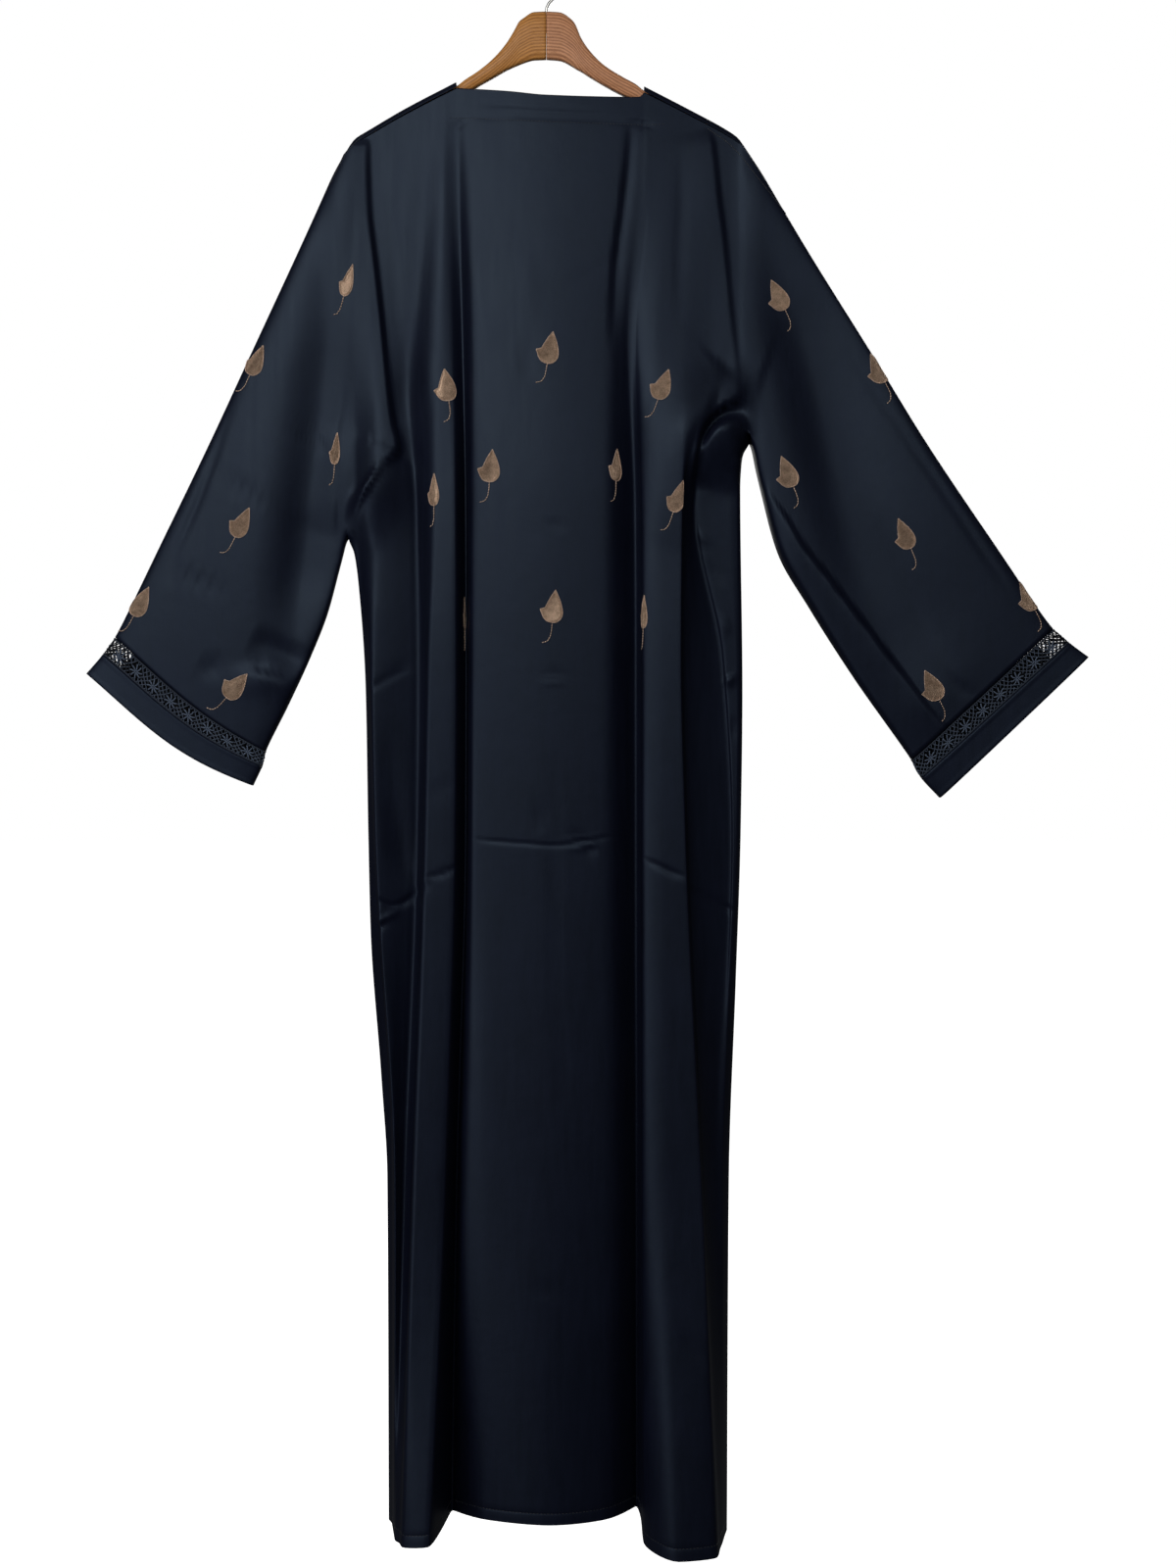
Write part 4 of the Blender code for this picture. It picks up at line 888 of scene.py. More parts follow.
def eased(mesh, weight, passes):
    """Moves each point part of the way towards the middle of its neighbours. Open edges stay."""
    points = points_of(mesh)
    edges = np.empty(len(mesh.edges) * 2, int)
    mesh.edges.foreach_get("vertices", edges)
    edges = edges.reshape(-1, 2)
    uses = np.zeros(len(mesh.edges), int)
    side_of = np.empty(len(mesh.loops), int)
    mesh.loops.foreach_get("edge_index", side_of)
    np.add.at(uses, side_of, 1)
    weight = np.array(weight)
    weight[edges[uses == 1].ravel()] = 0
    ends = np.concatenate([edges, edges[:, ::-1]])
    neighbours = np.maximum(np.bincount(ends[:, 0], minlength=len(points)), 1)
    for _ in range(passes):
        for k in range(3):
            total = np.bincount(ends[:, 0], points[ends[:, 1], k], len(points))
            points[:, k] += weight * (total / neighbours - points[:, k])
    mesh.vertices.foreach_set("co", points.ravel())
    mesh.update()


def ease_armholes(mesh, stations_list):
    """Softens the cloth where the sleeve runs into the body, as it is cut in one with it."""
    points = points_of(mesh) / MM
    drop = -points[:, 2] - NECK_POINT_BELOW_HOOK
    weight = np.zeros(len(points))
    for stations in stations_list:
        _, x0, top, x1, armpit = stations[0][:5]
        line = x0 + (x1 - x0) * np.clip((drop - top) / (armpit - top), 0, 1)
        away = np.abs(points[:, 0] - line)
        reach = smooth((armpit + 30 - drop) / 40)
        weight = np.maximum(weight, ARMHOLE_EASE * reach * np.exp(-((away / ARMHOLE_EASE_WIDTH) ** 2)))
    eased(mesh, weight, EASE_PASSES)


def add_wall(obj, thickness):
    wall = obj.modifiers.new("wall", "SOLIDIFY")
    wall.thickness = thickness * MM
    wall.offset = -1


def back_cloth(satin):
    body = body_grid(
        BACK_FOLDS,
        1,
        top_edge_of(BACK_NECK, BACK_SEAM_DROP),
        BACK_YOKE,
        left=(SLEEVE_LEFT, SIDE_LEFT),
        right=(SLEEVE_RIGHT, SIDE_RIGHT),
    )
    grids = [turned_to(body, 1)]
    for stations, position in ((SLEEVE_LEFT, 0), (SLEEVE_RIGHT, -1)):
        shares = armhole_shares(stations, body[1][:, position])
        grids.append(turned_to(sleeve_half(stations, 1, shares), 1))
        grids.append(turned_to(seam_wall(stations, body, position), 1))
    mesh = welded("back_cloth", grids, -1)
    ease_armholes(mesh, (SLEEVE_LEFT, SLEEVE_RIGHT))
    return cloth_piece("back_cloth", mesh, satin, "back")


def front_cloth(name, folds, neck, stations, side_table, side, satin):
    closed = {"left" if side < 0 else "right": (stations, side_table)}
    body = body_grid(folds, -1, top_edge_of(neck, FRONT_ROLL_DROP), FRONT_YOKE, **closed)
    position = 0 if side < 0 else -1
    shares = armhole_shares(stations, body[1][:, position])
    grids = [
        turned_to(body, -1),
        turned_to(sleeve_half(stations, -1, shares), -1),
        turned_to(seam_wall(stations, body, position), -1),
        turned_to(shoulder_roll(stations, folds, side), 1),
    ]
    mesh = welded(f"{name}_cloth", grids, 1)
    ease_armholes(mesh, (stations,))
    return cloth_piece(f"{name}_cloth", mesh, satin, name)


def cloth_piece(name, mesh, material, node):
    obj = add_piece(name, mesh, material)
    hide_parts(node)
    obj["outer_face"] = True
    return obj


# ---- rows of small things, made by one Geometry Nodes tree ----
def bead_tree():
    """A modifier tree that strings beads along the edges of a mesh: one stitch, or one link of a chain."""
    tree = bpy.data.node_groups.new("string_of_beads", "GeometryNodeTree")
    face = tree.interface
    face.new_socket("Lines", in_out="INPUT", socket_type="NodeSocketGeometry")
    for name in ("Spacing", "Length", "Width"):
        face.new_socket(name, in_out="INPUT", socket_type="NodeSocketFloat")
    face.new_socket("Material", in_out="INPUT", socket_type="NodeSocketMaterial")
    face.new_socket("Beads", in_out="OUTPUT", socket_type="NodeSocketGeometry")

    def node(kind, settings=(), **sockets):
        made = tree.nodes.new(kind)
        for key, value in dict(settings).items():
            setattr(made, key, value)
        for key, value in sockets.items():
            socket = made.inputs[key.replace("_", " ")]
            if isinstance(value, bpy.types.NodeSocket):
                tree.links.new(value, socket)
            else:
                socket.default_value = value
        return made

    sizes = node("NodeGroupInput").outputs
    curve = node("GeometryNodeMeshToCurve", Mesh=sizes["Lines"]).outputs["Curve"]
    stops = node("GeometryNodeCurveToPoints", {"mode": "LENGTH"}, Curve=curve, Length=sizes["Spacing"])
    ball = node("GeometryNodeMeshUVSphere", Segments=6, Rings=4, Radius=0.5).outputs["Mesh"]
    size = node("ShaderNodeCombineXYZ", X=sizes["Width"], Y=sizes["Width"], Z=sizes["Length"])
    beads = node(
        "GeometryNodeInstanceOnPoints",
        Points=stops.outputs["Points"],
        Instance=ball,
        Rotation=stops.outputs["Rotation"],
        Scale=size.outputs["Vector"],
    )
    real = node("GeometryNodeRealizeInstances", Geometry=beads.outputs["Instances"])
    smooth_faces = node("GeometryNodeSetShadeSmooth", Geometry=real.outputs["Geometry"])
    finished = node(
        "GeometryNodeSetMaterial", Geometry=smooth_faces.outputs["Geometry"], Material=sizes["Material"]
    )
    node("NodeGroupOutput", Beads=finished.outputs["Geometry"])
    return tree


def string_of_beads(name, tree, lines, stitch, material):
    """Beads along polylines of world points. stitch is (spacing, length, width)."""
    spacing, length, width = stitch
    points, edges, start = [], [], 0
    for line in lines:
        points.append(np.asarray(line, float))
        edges += [(start + k, start + k + 1) for k in range(len(line) - 1)]
        start += len(line)
    guide_mesh = bpy.data.meshes.new(f"{name}_guide")
    guide_mesh.from_pydata(np.concatenate(points).tolist(), edges, [])
    guide = bpy.data.objects.new(f"{name}_guide", guide_mesh)
    bpy.context.scene.collection.objects.link(guide)
    string = guide.modifiers.new("string_of_beads", "NODES")
    string.node_group = tree
    values = {"Spacing": spacing * MM, "Length": length * MM, "Width": width * MM, "Material": material}
    for item in tree.interface.items_tree:
        if item.in_out == "INPUT" and item.name in values:
            string[item.identifier] = values[item.name]
    bpy.context.view_layer.update()
    evaluated = guide.evaluated_get(bpy.context.evaluated_depsgraph_get())
    mesh = bpy.data.meshes.new_from_object(evaluated)
    mesh.name = name
    bpy.data.objects.remove(guide)
    return add_piece(name, mesh, material)


# ---- places on the cloth ----
class Surface:
    """The outer faces of some cloth, to find places on it and to walk over it."""

    def __init__(self, objects):
        points, faces, start = [], [], 0
        for obj in objects:
            points += [v.co.copy() for v in obj.data.vertices]
            faces += [[start + k for k in face.vertices] for face in obj.data.polygons]
            start += len(obj.data.vertices)
        self.tree = BVHTree.FromPolygons(points, faces)

    def seen_from(self, side, across, drop):
        """The place on the cloth that covers (across, drop) when seen from behind (1) or in front (-1)."""
        eye = Vector((CAMERA_PLACE[0], side * CAMERA_PLACE[1], CAMERA_PLACE[2]))
        target = Vector((across * MM, 0, (-NECK_POINT_BELOW_HOOK - drop) * MM))
        hit, normal, _, _ = self.tree.ray_cast(eye, (target - eye).normalized())
        return hit, normal

    def walk(self, place_on, normal, heading, distance):
        """Goes over the cloth from a place for a distance, and gives the new place and its normal."""
        heading = (heading - heading.dot(normal) * normal).normalized()
        steps = max(1, math.ceil(distance / (WALK_STEP * MM)))
        for _ in range(steps):
            place_on, normal, _, _ = self.tree.find_nearest(place_on + heading * (distance / steps))
            heading = (heading - heading.dot(normal) * normal).normalized()
        return place_on, normal


def eased_outline(points, kept, rounds=2):
    """Cuts the corners of a closed outline, except the kept ones."""
    points = [(Vector(p), p in kept) for p in points]
    for _ in range(rounds):
        cut = []
        for k, (point, sharp) in enumerate(points):
            before, after = points[k - 1][0], points[(k + 1) % len(points)][0]
            if sharp:
                cut.append((point, True))
            else:
                cut += [(point.lerp(before, 0.25), False), (point.lerp(after, 0.25), False)]
        points = cut
    return [tuple(point) for point, _ in points]


def leaves(name, surface, side, table, fill, tree, outline_thread):
    """Embroidered leaves over the cloth: domed blades, and beads of thread for outline and stem."""
    outline = eased_outline(LEAF_OUTLINE, LEAF_CORNERS)
    middle = Vector(LEAF_MIDDLE)
    points, faces, uv, outlines, stems = [], [], [], [], []
    for across, drop, lean, width in table:
        base, normal = surface.seen_from(side, across, drop)
        lean = math.radians(lean)
        up = Vector((math.sin(lean), 0, math.cos(lean)))
        right = Vector((side * math.cos(lean), 0, -side * math.sin(lean)))

        def lay(local, height):
            x, y = local[0] * width, local[1]
            heading = right * x + up * y
            spot, its_normal = surface.walk(base, normal, heading, heading.length * MM)
            return spot + its_normal * height * MM

        start = len(points)
        count = len(outline)
        for share, height in LEAF_RINGS:
            for corner in outline:
                local = middle.lerp(Vector(corner), share)
                points.append(lay(local, height))
                uv.append(tuple(local))
        points.append(lay(middle, LEAF_DOME))
        uv.append(LEAF_MIDDLE)
        faces += grid_faces(len(LEAF_RINGS), count, start, closed=True)
        inner = start + (len(LEAF_RINGS) - 1) * count
        faces += [(inner + k, inner + (k + 1) % count, len(points) - 1) for k in range(count)]
        faces.append(tuple(start + k for k in reversed(range(count))))
        rim = [lay(corner, THREAD_LIFT) for corner in outline]
        outlines.append(rim + rim[:1])
        stems.append([lay(corner, THREAD_LIFT) for corner in LEAF_STEM])
    mesh = mesh_of(name, [tuple(p) for p in points], faces)
    layer = mesh.uv_layers.new(name="leaf")
    for loop in mesh.loops:
        layer.data[loop.index].uv = [c * MM * 10 for c in uv[loop.vertex_index]]
    face_outwards(mesh)
    blades = add_piece(name, mesh, fill)
    rims = string_of_beads(f"{name}_outline", tree, outlines, RIM_STITCH, outline_thread)
    chains = string_of_beads(f"{name}_stems", tree, stems, STEM_STITCH, outline_thread)
    return [blades, rims, chains]


# ---- seams and stitches ----
def on_cloth(surface, places):
    """The same places moved onto the cloth, just above it."""
    found = [surface.tree.find_nearest(Vector(spot)) for spot in places]
    return [spot + normal * STITCH_LIFT * MM for spot, normal, _, _ in found]


def drawn_on(surface, side, corners):
    """A line over the cloth through corners as seen from straight behind or in front."""
    stops = np.arange(0, len(corners) - 0.99, 0.1)
    across, drop = (monotone(np.arange(len(corners)), [c[k] for c in corners], stops) for k in (0, 1))
    found = [surface.seen_from(side, a, d) for a, d in zip(across, drop)]
    return [spot + normal * STITCH_LIFT * MM for spot, normal in found if spot]


def hem_line(table, side):
    """Places round the hem's fold, where it is stitched."""
    at = np.linspace(0.4, len(table) - 1.4, 160)
    drop = np.full(len(at), HEM - HEM_FOLD)
    across, out = cloth_lines(table, at, drop)
    return place(across, drop + hem_shift(table, at, drop), side * out)


def front_edge_line(table, row, inwards):
    """Places down a front's edge, beside its turned hem."""
    drop = np.linspace(*EDGE_STITCH_DROPS, 240)
    across, out = (monotone(LEVELS, table[row][k], drop) for k in (1, 2))
    return place(across + inwards, drop, -out)


def stitches(name, tree, lines, thread, stitch=PLAIN_STITCH):
    return string_of_beads(name, tree, lines, stitch, thread)


# ---- lace ----
def along_ring(stations, first, last, round_share, width_share):
    """Places on the flattened tube of a sleeve's end: round_share goes back, underarm, front, upper fold."""
    round_share, width_share = np.broadcast_arrays(np.asarray(round_share, float) % 1, width_share)
    station = first + (last - first) * width_share
    behind = round_share < 0.5
    share = np.where(behind, 2 * round_share, 2 - 2 * round_share)
    found = np.zeros(np.shape(station) + (3,))
    for which, back_side in ((behind, 1), (~behind, -1)):
        across, drop, out = sleeve_point(stations, back_side, share[which], station[which])
        found[which] = place(across, drop, back_side * out)
    return found


def threads(name, runs):
    """Flat threads, each (places, outward normals, width, height, lift, shade): lens sections with closed ends."""
    points, faces, shades, start = [], [], [], 0
    for places, normals, width, height, lift, shade in runs:
        course = np.gradient(places, axis=0)
        course /= np.linalg.norm(course, axis=1)[:, None] + 1e-12
        across = np.cross(normals, course)
        up = normals * height * MM
        wide = across * width * MM
        centre = places + normals * lift * MM
        section = [wide, 0.5 * wide + up, -0.5 * wide + up, -wide, -0.5 * wide - 0.4 * up, 0.5 * wide - 0.4 * up]
        rows = np.stack([centre + offset for offset in section], axis=1)
        count = len(section)
        points.append(rows.reshape(-1, 3))
        shades += [shade] * (len(rows) * count)
        faces += grid_faces(len(rows), count, start, closed=True)
        faces.append(tuple(start + k for k in range(count)))
        faces.append(tuple(start + (len(rows) - 1) * count + k for k in reversed(range(count))))
        start += len(rows) * count
    mesh = mesh_of(name, np.concatenate(points), faces)
    layer = mesh.uv_layers.new(name="shade")
    for loop in mesh.loops:
        layer.data[loop.index].uv = (shades[loop.vertex_index], 0)
    face_outwards(mesh)
    return mesh


class LaceBand:
    """A sleeve's lace, laid out flat as (round, over): millimetres round the sleeve and over the lace."""

    def __init__(self, stations):
        round_share, width_share = np.meshgrid(
            np.linspace(0, 1, LACE_ROUND_STEPS + 1), np.linspace(0, 1, LACE_OVER_STEPS + 1), indexing="ij"
        )
        ends = (LACE_TOP + END_GAP, CUFF_TOP - END_GAP)
        self.places = along_ring(stations, *ends, round_share, width_share)
        steps = np.linalg.norm(np.diff(self.places[:, LACE_OVER_STEPS // 2], axis=0), axis=1)
        self.lengths = np.concatenate([[0], np.cumsum(steps)]) / MM
        self.round = self.lengths[-1]
        quarter = LACE_ROUND_STEPS // 4
        self.over = float(np.linalg.norm(self.places[quarter, -1] - self.places[quarter, 0])) / MM
        round_step = np.roll(self.places[:-1], -1, axis=0) - np.roll(self.places[:-1], 1, axis=0)
        round_step = np.concatenate([round_step, round_step[:1]])
        normals = np.cross(round_step, np.gradient(self.places, axis=1))
        outwards = np.where(round_share < 0.5, -1.0, 1.0)
        normals *= np.sign(normals[..., 1] * outwards + 1e-12)[..., None]
        self.normals = normals / np.linalg.norm(normals, axis=-1)[..., None]

    def at(self, round_mm, over_mm):
        """Places and outward normals."""
        round_mm, over_mm = np.broadcast_arrays(np.asarray(round_mm, float), np.asarray(over_mm, float))
        u = np.interp(round_mm % self.round, self.lengths, np.arange(LACE_ROUND_STEPS + 1))
        v = np.clip(over_mm / self.over, 0, 1) * LACE_OVER_STEPS
        i = np.minimum(u.astype(int), LACE_ROUND_STEPS - 1)
        j = np.minimum(v.astype(int), LACE_OVER_STEPS - 1)
        u, v = (u - i)[:, None], (v - j)[:, None]

        def between(net):
            near = (1 - v) * net[i, j] + v * net[i, j + 1]
            far = (1 - v) * net[i + 1, j] + v * net[i + 1, j + 1]
            return (1 - u) * near + u * far

        places, normals = between(self.places), between(self.normals)
        return places, normals / np.linalg.norm(normals, axis=-1)[:, None]


def lace(name, stations, thread, node):
    """Black lace: two edge cords, a diagonal net, and a row of raised flowers, with a dark sheet behind the net where
    it faces forward as painted shade of the sleeve's inside.
    """
    band = LaceBand(stations)
    flowers = max(8, round(band.round / FLOWER_SPACING))
    spacing = band.round / flowers
    middle = band.over / 2
    runs = []

    def lay(round_mm, over_mm, width, height, lift=0.0, shade=1.0):
        runs.append((*band.at(round_mm, over_mm), width, height, lift, shade))

    loop = np.linspace(0, band.round, 260)
    for over in (EDGE_CORD_IN, band.over - EDGE_CORD_IN):
        lay(loop, over, EDGE_CORD_WIDTH, EDGE_CORD_HEIGHT, shade=EDGE_CORD_SHADE)
    # painted shade: a dark sheet behind the forward half's net stands for the shade inside the sleeve
    shade_sheet_rounds = np.linspace(band.round / 2, band.round - OPEN_NET_AT_FOLD, 120)
    lay(shade_sheet_rounds, middle, middle, SHADE_SHEET_HEIGHT, SHADE_SHEET_LIFT, 0)
    count = round(band.round / NET_SPACING)
    climb = np.linspace(NET_IN, band.over - NET_IN, 9)
    for k in range(count):
        for lean in (1, -1):
            start = band.round * k / count
            rounds = start + lean * climb * NET_SLANT
            from_flower = np.abs((rounds + spacing / 2) % spacing - spacing / 2)
            at_fold = abs((start + band.round / 2) % band.round - band.round / 2) < OPEN_NET_AT_FOLD
            clear = (np.hypot(from_flower, climb - middle) > PETAL_REACH - FLOWER_CLEAR) | at_fold
            run = []
            for r, v, open_net in zip(rounds, climb, clear):
                if open_net:
                    run.append((r, v))
                if run and (not open_net or v == climb[-1]):
                    if len(run) > 1:
                        # painted shade: the net near the fold takes the darkest colour
                        width = NET_THREAD_AT_FOLD if at_fold else NET_THREAD
                        lay(*np.array(run).T, width, NET_HEIGHT, shade=0 if at_fold else NET_SHADE)
                    run = []
    for k in range(flowers):
        for petal in range(PETALS):
            angle = 2 * math.pi * (petal + 0.5) / PETALS
            reach = np.linspace(PETAL_FROM, PETAL_REACH, 5)
            bend = PETAL_BEND * np.sin(math.pi * np.linspace(0, 1, 5))
            r = k * spacing + reach * math.cos(angle) - bend * math.sin(angle)
            v = middle + reach * math.sin(angle) + bend * math.cos(angle)
            lay(r, v, PETAL_WIDTH, 0.5, 0.25)
        eye = np.linspace(0, 2 * math.pi, 9)
        lay(k * spacing + EYE_RADIUS * np.cos(eye), middle + EYE_RADIUS * np.sin(eye), 0.6, 0.55, 0.35)
    obj = add_piece(name, threads(name, runs), thread)
    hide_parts(node)
    return obj


def cuff(name, stations, band, node):
    """The band that ends the sleeve, with a raised piping where it meets the lace."""
    grid = ring(stations, CUFF_TOP + END_GAP, CUFF_HEM)
    rows = len(grid[0])
    share = np.linspace(0, 1, rows)[:, None]
    away = share * CUFF_DEPTH
    piping = PIPING * np.exp(-(((away - PIPING_IN) / PIPING_WIDTH) ** 2))
    hem = CUFF_HEM_ROLL * np.exp(-(((away - CUFF_DEPTH + PIPING_WIDTH) / PIPING_WIDTH) ** 2))
    grid[2] = grid[2] + np.sign(grid[2]) * (piping + hem)
    mesh = welded(name, [turned_to(grid, 1)], -1, closed=True)
    obj = add_piece(name, mesh, band)
    add_wall(obj, CUFF_WALL)
    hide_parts(node)
    return obj


# ---- hanger ----
def hidden_arm(side):
    """The arm's stations under the cloth, from the neck out to its rounded end."""
    start = ARM_LEFT[-1][0] if side < 0 else ARM_RIGHT[-1][0]
    rows = []
    for share in np.linspace(0.1, 1, 9):
        across = start + share * (side * (ARM_END - 6) - start)
        top = float(shoulder_crest(across)) + ARM_BELOW_CLOTH
        rows.append((across, top, top + ARM_DEPTH_AT_NECK))
    return rows


def hanger_arm(name, rows, side, material, node):
    """One arm: a loft of rounded bars from the mitre out, with a shallow step along its lower edge."""
    table = np.array([(side * MITRE_GAP / 2, *rows[0][1:])] + list(rows[1:]) + hidden_arm(side))
    reach = np.concatenate([[0], np.cumsum(np.hypot(np.diff(table[:, 0]), np.diff(table[:, 1:].mean(1))))])
    stops = np.concatenate([np.linspace(0, 190, 77), np.linspace(194, reach[-1], 22)])
    across, top, bottom = (monotone(reach, table[:, k], stops) for k in range(3))
    rounding = np.linspace(0.2, 0.98, ARM_TIP_RINGS)
    closing = np.concatenate([np.ones(len(stops)), np.sqrt(1 - rounding**2)])
    tip = rounding * ARM_TIP
    across, top, bottom = (
        np.concatenate([part, np.full(ARM_TIP_RINGS, part[-1])]) for part in (across, top, bottom)
    )
    across[-ARM_TIP_RINGS:] += side * tip
    fall = (table[-1, 1] - table[-2, 1]) / abs(table[-1, 0] - table[-2, 0])
    top[-ARM_TIP_RINGS:] += fall * tip
    bottom[-ARM_TIP_RINGS:] += fall * tip
    stops = np.concatenate([stops, stops[-1] + tip])
    angle = 2 * math.pi * (np.arange(ARM_SIDES) + 0.5) / ARM_SIDES
    upright = np.sign(np.sin(angle)) * np.abs(np.sin(angle)) ** ARM_SQUARENESS
    sideways = np.sign(np.cos(angle)) * np.abs(np.cos(angle)) ** ARM_SQUARENESS
    middle, half_depth = (top + bottom) / 2, (bottom - top) / 2 * closing
    drop = middle[:, None] - half_depth[:, None] * upright
    step = ARM_STEP * smooth((-0.42 - upright) / 0.12)
    thick = (HANGER_HALF_THICKNESS - step) * sideways * closing[:, None]
    points = place(across[:, None] + 0 * drop, drop, thick)
    rings, count = points.shape[:2]
    faces = grid_faces(rings, count, closed=True)
    faces += [tuple(range(count)), tuple((rings - 1) * count + k for k in range(count))]
    mesh = mesh_of(name, points, faces)
    face_outwards(mesh)
    grain = mesh.attributes.new("grain", "FLOAT_VECTOR", "POINT")
    lengthwise = stops[:, None] + 0 * drop
    upright_mm = -half_depth[:, None] * upright
    values = np.stack([lengthwise, upright_mm, thick], axis=-1) * MM
    grain.data.foreach_set("vector", values.ravel())
    obj = add_piece(name, mesh, material)
    for face in mesh.polygons:
        if len(face.vertices) > 4:
            face.use_smooth = False
    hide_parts(node)
    return obj


def wood_top():
    """World height, in millimetres, of the mitre's top where the hook goes in."""
    return -NECK_POINT_BELOW_HOOK - HANGER_TOP_DROP


def hook(material, node):
    """The wire hook: up the stem, out to one side and over the rod, ending past its far side."""
    radius = HOOK_INSIDE_RADIUS + HOOK_WIRE / 2
    centre = -HOOK_INSIDE_RADIUS
    bend = centre - radius - STEM_BEND
    angles = np.radians(np.linspace(HOOK_FROM_ANGLE, HOOK_TO_ANGLE, 60))
    arc = np.stack([radius * np.cos(angles), centre + radius * np.sin(angles)], axis=1)
    stem = [(0, wood_top() - HOOK_IN_WOOD + MITRE_GAP), (0, wood_top() + 1), (0, bend)]
    joint = [(0.12 * arc[0][0], bend + 0.4 * STEM_BEND), (0.52 * arc[0][0], arc[0][1] - 0.38 * STEM_BEND)]
    path = np.array(stem + joint + list(arc))
    for _ in range(2):
        path[2:6] = 0.25 * path[1:5] + 0.5 * path[2:6] + 0.25 * path[3:7]
    course = np.gradient(path, axis=0)
    course /= np.linalg.norm(course, axis=1)[:, None]
    turn = 2 * math.pi * np.arange(WIRE_SIDES) / WIRE_SIDES

    def circle(spot, heading, r):
        (x, z), (cx, cz) = spot, heading
        return [(x - cz * r * math.cos(t), r * math.sin(t), z + cx * r * math.cos(t)) for t in turn]

    rings = [circle(spot, heading, HOOK_WIRE / 2) for spot, heading in zip(path, course)]
    for share in (0.5, 0.86, 0.98):
        end = path[-1] + course[-1] * share * HOOK_WIRE / 2
        rings.append(circle(end, course[-1], HOOK_WIRE / 2 * math.sqrt(1 - share**2)))
    points = np.array(rings) * MM
    faces = grid_faces(len(rings), WIRE_SIDES, closed=True)
    faces += [tuple(range(WIRE_SIDES)), tuple((len(rings) - 1) * WIRE_SIDES + k for k in range(WIRE_SIDES))]
    mesh = mesh_of("hook_wire", points, faces)
    face_outwards(mesh)
    obj = add_piece("hook_wire", mesh, material)
    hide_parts(node)
    return obj


# ---- materials ----
class Value:
    """A socket of a material, with arithmetic."""

    def __init__(self, finish, socket):
        self.finish = finish
        self.socket = socket

    def with_other(self, operation, *others):
        node = self.finish.node("ShaderNodeMath", {"operation": operation}, (self, *others))
        return Value(self.finish, node.outputs[0])

    def __add__(self, other):
        return self.with_other("ADD", other)

    __radd__ = __add__

    def __mul__(self, other):
        return self.with_other("MULTIPLY", other)

    __rmul__ = __mul__

    def __sub__(self, other):
        return self.with_other("SUBTRACT", other)

    def clamped(self):
        node = self.finish.node("ShaderNodeClamp", {}, (self,))
        return Value(self.finish, node.outputs[0])

    def between(self, low, high):
        """0 below low, 1 above high."""
        return ((self - low) * (1 / (high - low))).clamped()


class Finish:
    """A material in the making: its nodes, and the sockets of its Principled shader."""

    def __init__(self, name, colour, roughness, **fixed):
        self.material = bpy.data.materials.new(name)
        self.material.use_nodes = True
        self.tree = self.material.node_tree
        self.shader = self.tree.nodes["Principled BSDF"]
        self.shader.inputs["Base Color"].default_value = (*colour, 1)
        self.shader.inputs["Roughness"].default_value = roughness
        for name_, value in fixed.items():
            self.shader.inputs[name_.replace("_", " ")].default_value = value
        self.material.diffuse_color = (*colour, 1)

    def node(self, kind, settings, sockets):
        """Adds a node. sockets is a tuple in the node's order, or a dict by name."""
        made = self.tree.nodes.new(kind)
        for key, value in settings.items():
            setattr(made, key, value)
        pairs = sockets.items() if isinstance(sockets, dict) else enumerate(sockets)
        for key, value in pairs:
            if isinstance(value, Value):
                self.tree.links.new(value.socket, made.inputs[key])
            else:
                made.inputs[key].default_value = value
        return made

    def place(self, stretch=(1, 1, 1)):
        """The place on the object, in metres, stretched."""
        coordinates = self.node("ShaderNodeTexCoord", {}, ())
        return self.stretched(Value(self, coordinates.outputs["Object"]), stretch)

    def named(self, attribute, stretch=(1, 1, 1)):
        found = self.node("ShaderNodeAttribute", {"attribute_name": attribute}, ())
        return self.stretched(Value(self, found.outputs["Vector"]), stretch)

    def stretched(self, vector, stretch):
        if tuple(stretch) == (1, 1, 1):
            return vector
        node = self.node("ShaderNodeVectorMath", {"operation": "MULTIPLY"}, (vector, stretch))
        return Value(self, node.outputs[0])

    def noise(self, vector, scale, detail=3.0, roughness=0.5):
        sockets = {"Vector": vector, "Scale": scale, "Detail": detail, "Roughness": roughness}
        return Value(self, self.node("ShaderNodeTexNoise", {}, sockets).outputs["Fac"])

    def waves(self, vector, scale, direction, distortion=0.0):
        settings = {"wave_type": "BANDS", "bands_direction": direction}
        sockets = {"Vector": vector, "Scale": scale, "Distortion": distortion, "Detail": 1.0}
        return Value(self, self.node("ShaderNodeTexWave", settings, sockets).outputs["Fac"])

    def cells(self, vector, scale):
        sockets = {"Vector": vector, "Scale": scale}
        return Value(self, self.node("ShaderNodeTexVoronoi", {}, sockets).outputs["Distance"])

    def blend(self, share, one, other):
        colours = [c if isinstance(c, Value) else (*c, 1) for c in (one, other)]
        node = self.node("ShaderNodeMix", {"data_type": "RGBA"}, {0: share, 6: colours[0], 7: colours[1]})
        return Value(self, node.outputs[2])

    def set(self, name, value):
        self.tree.links.new(value.socket, self.shader.inputs[name])

    def bump(self, height, distance, strength=1.0):
        sockets = {"Height": height, "Distance": distance, "Strength": strength}
        node = self.node("ShaderNodeBump", {}, sockets)
        self.set("Normal", Value(self, node.outputs["Normal"]))


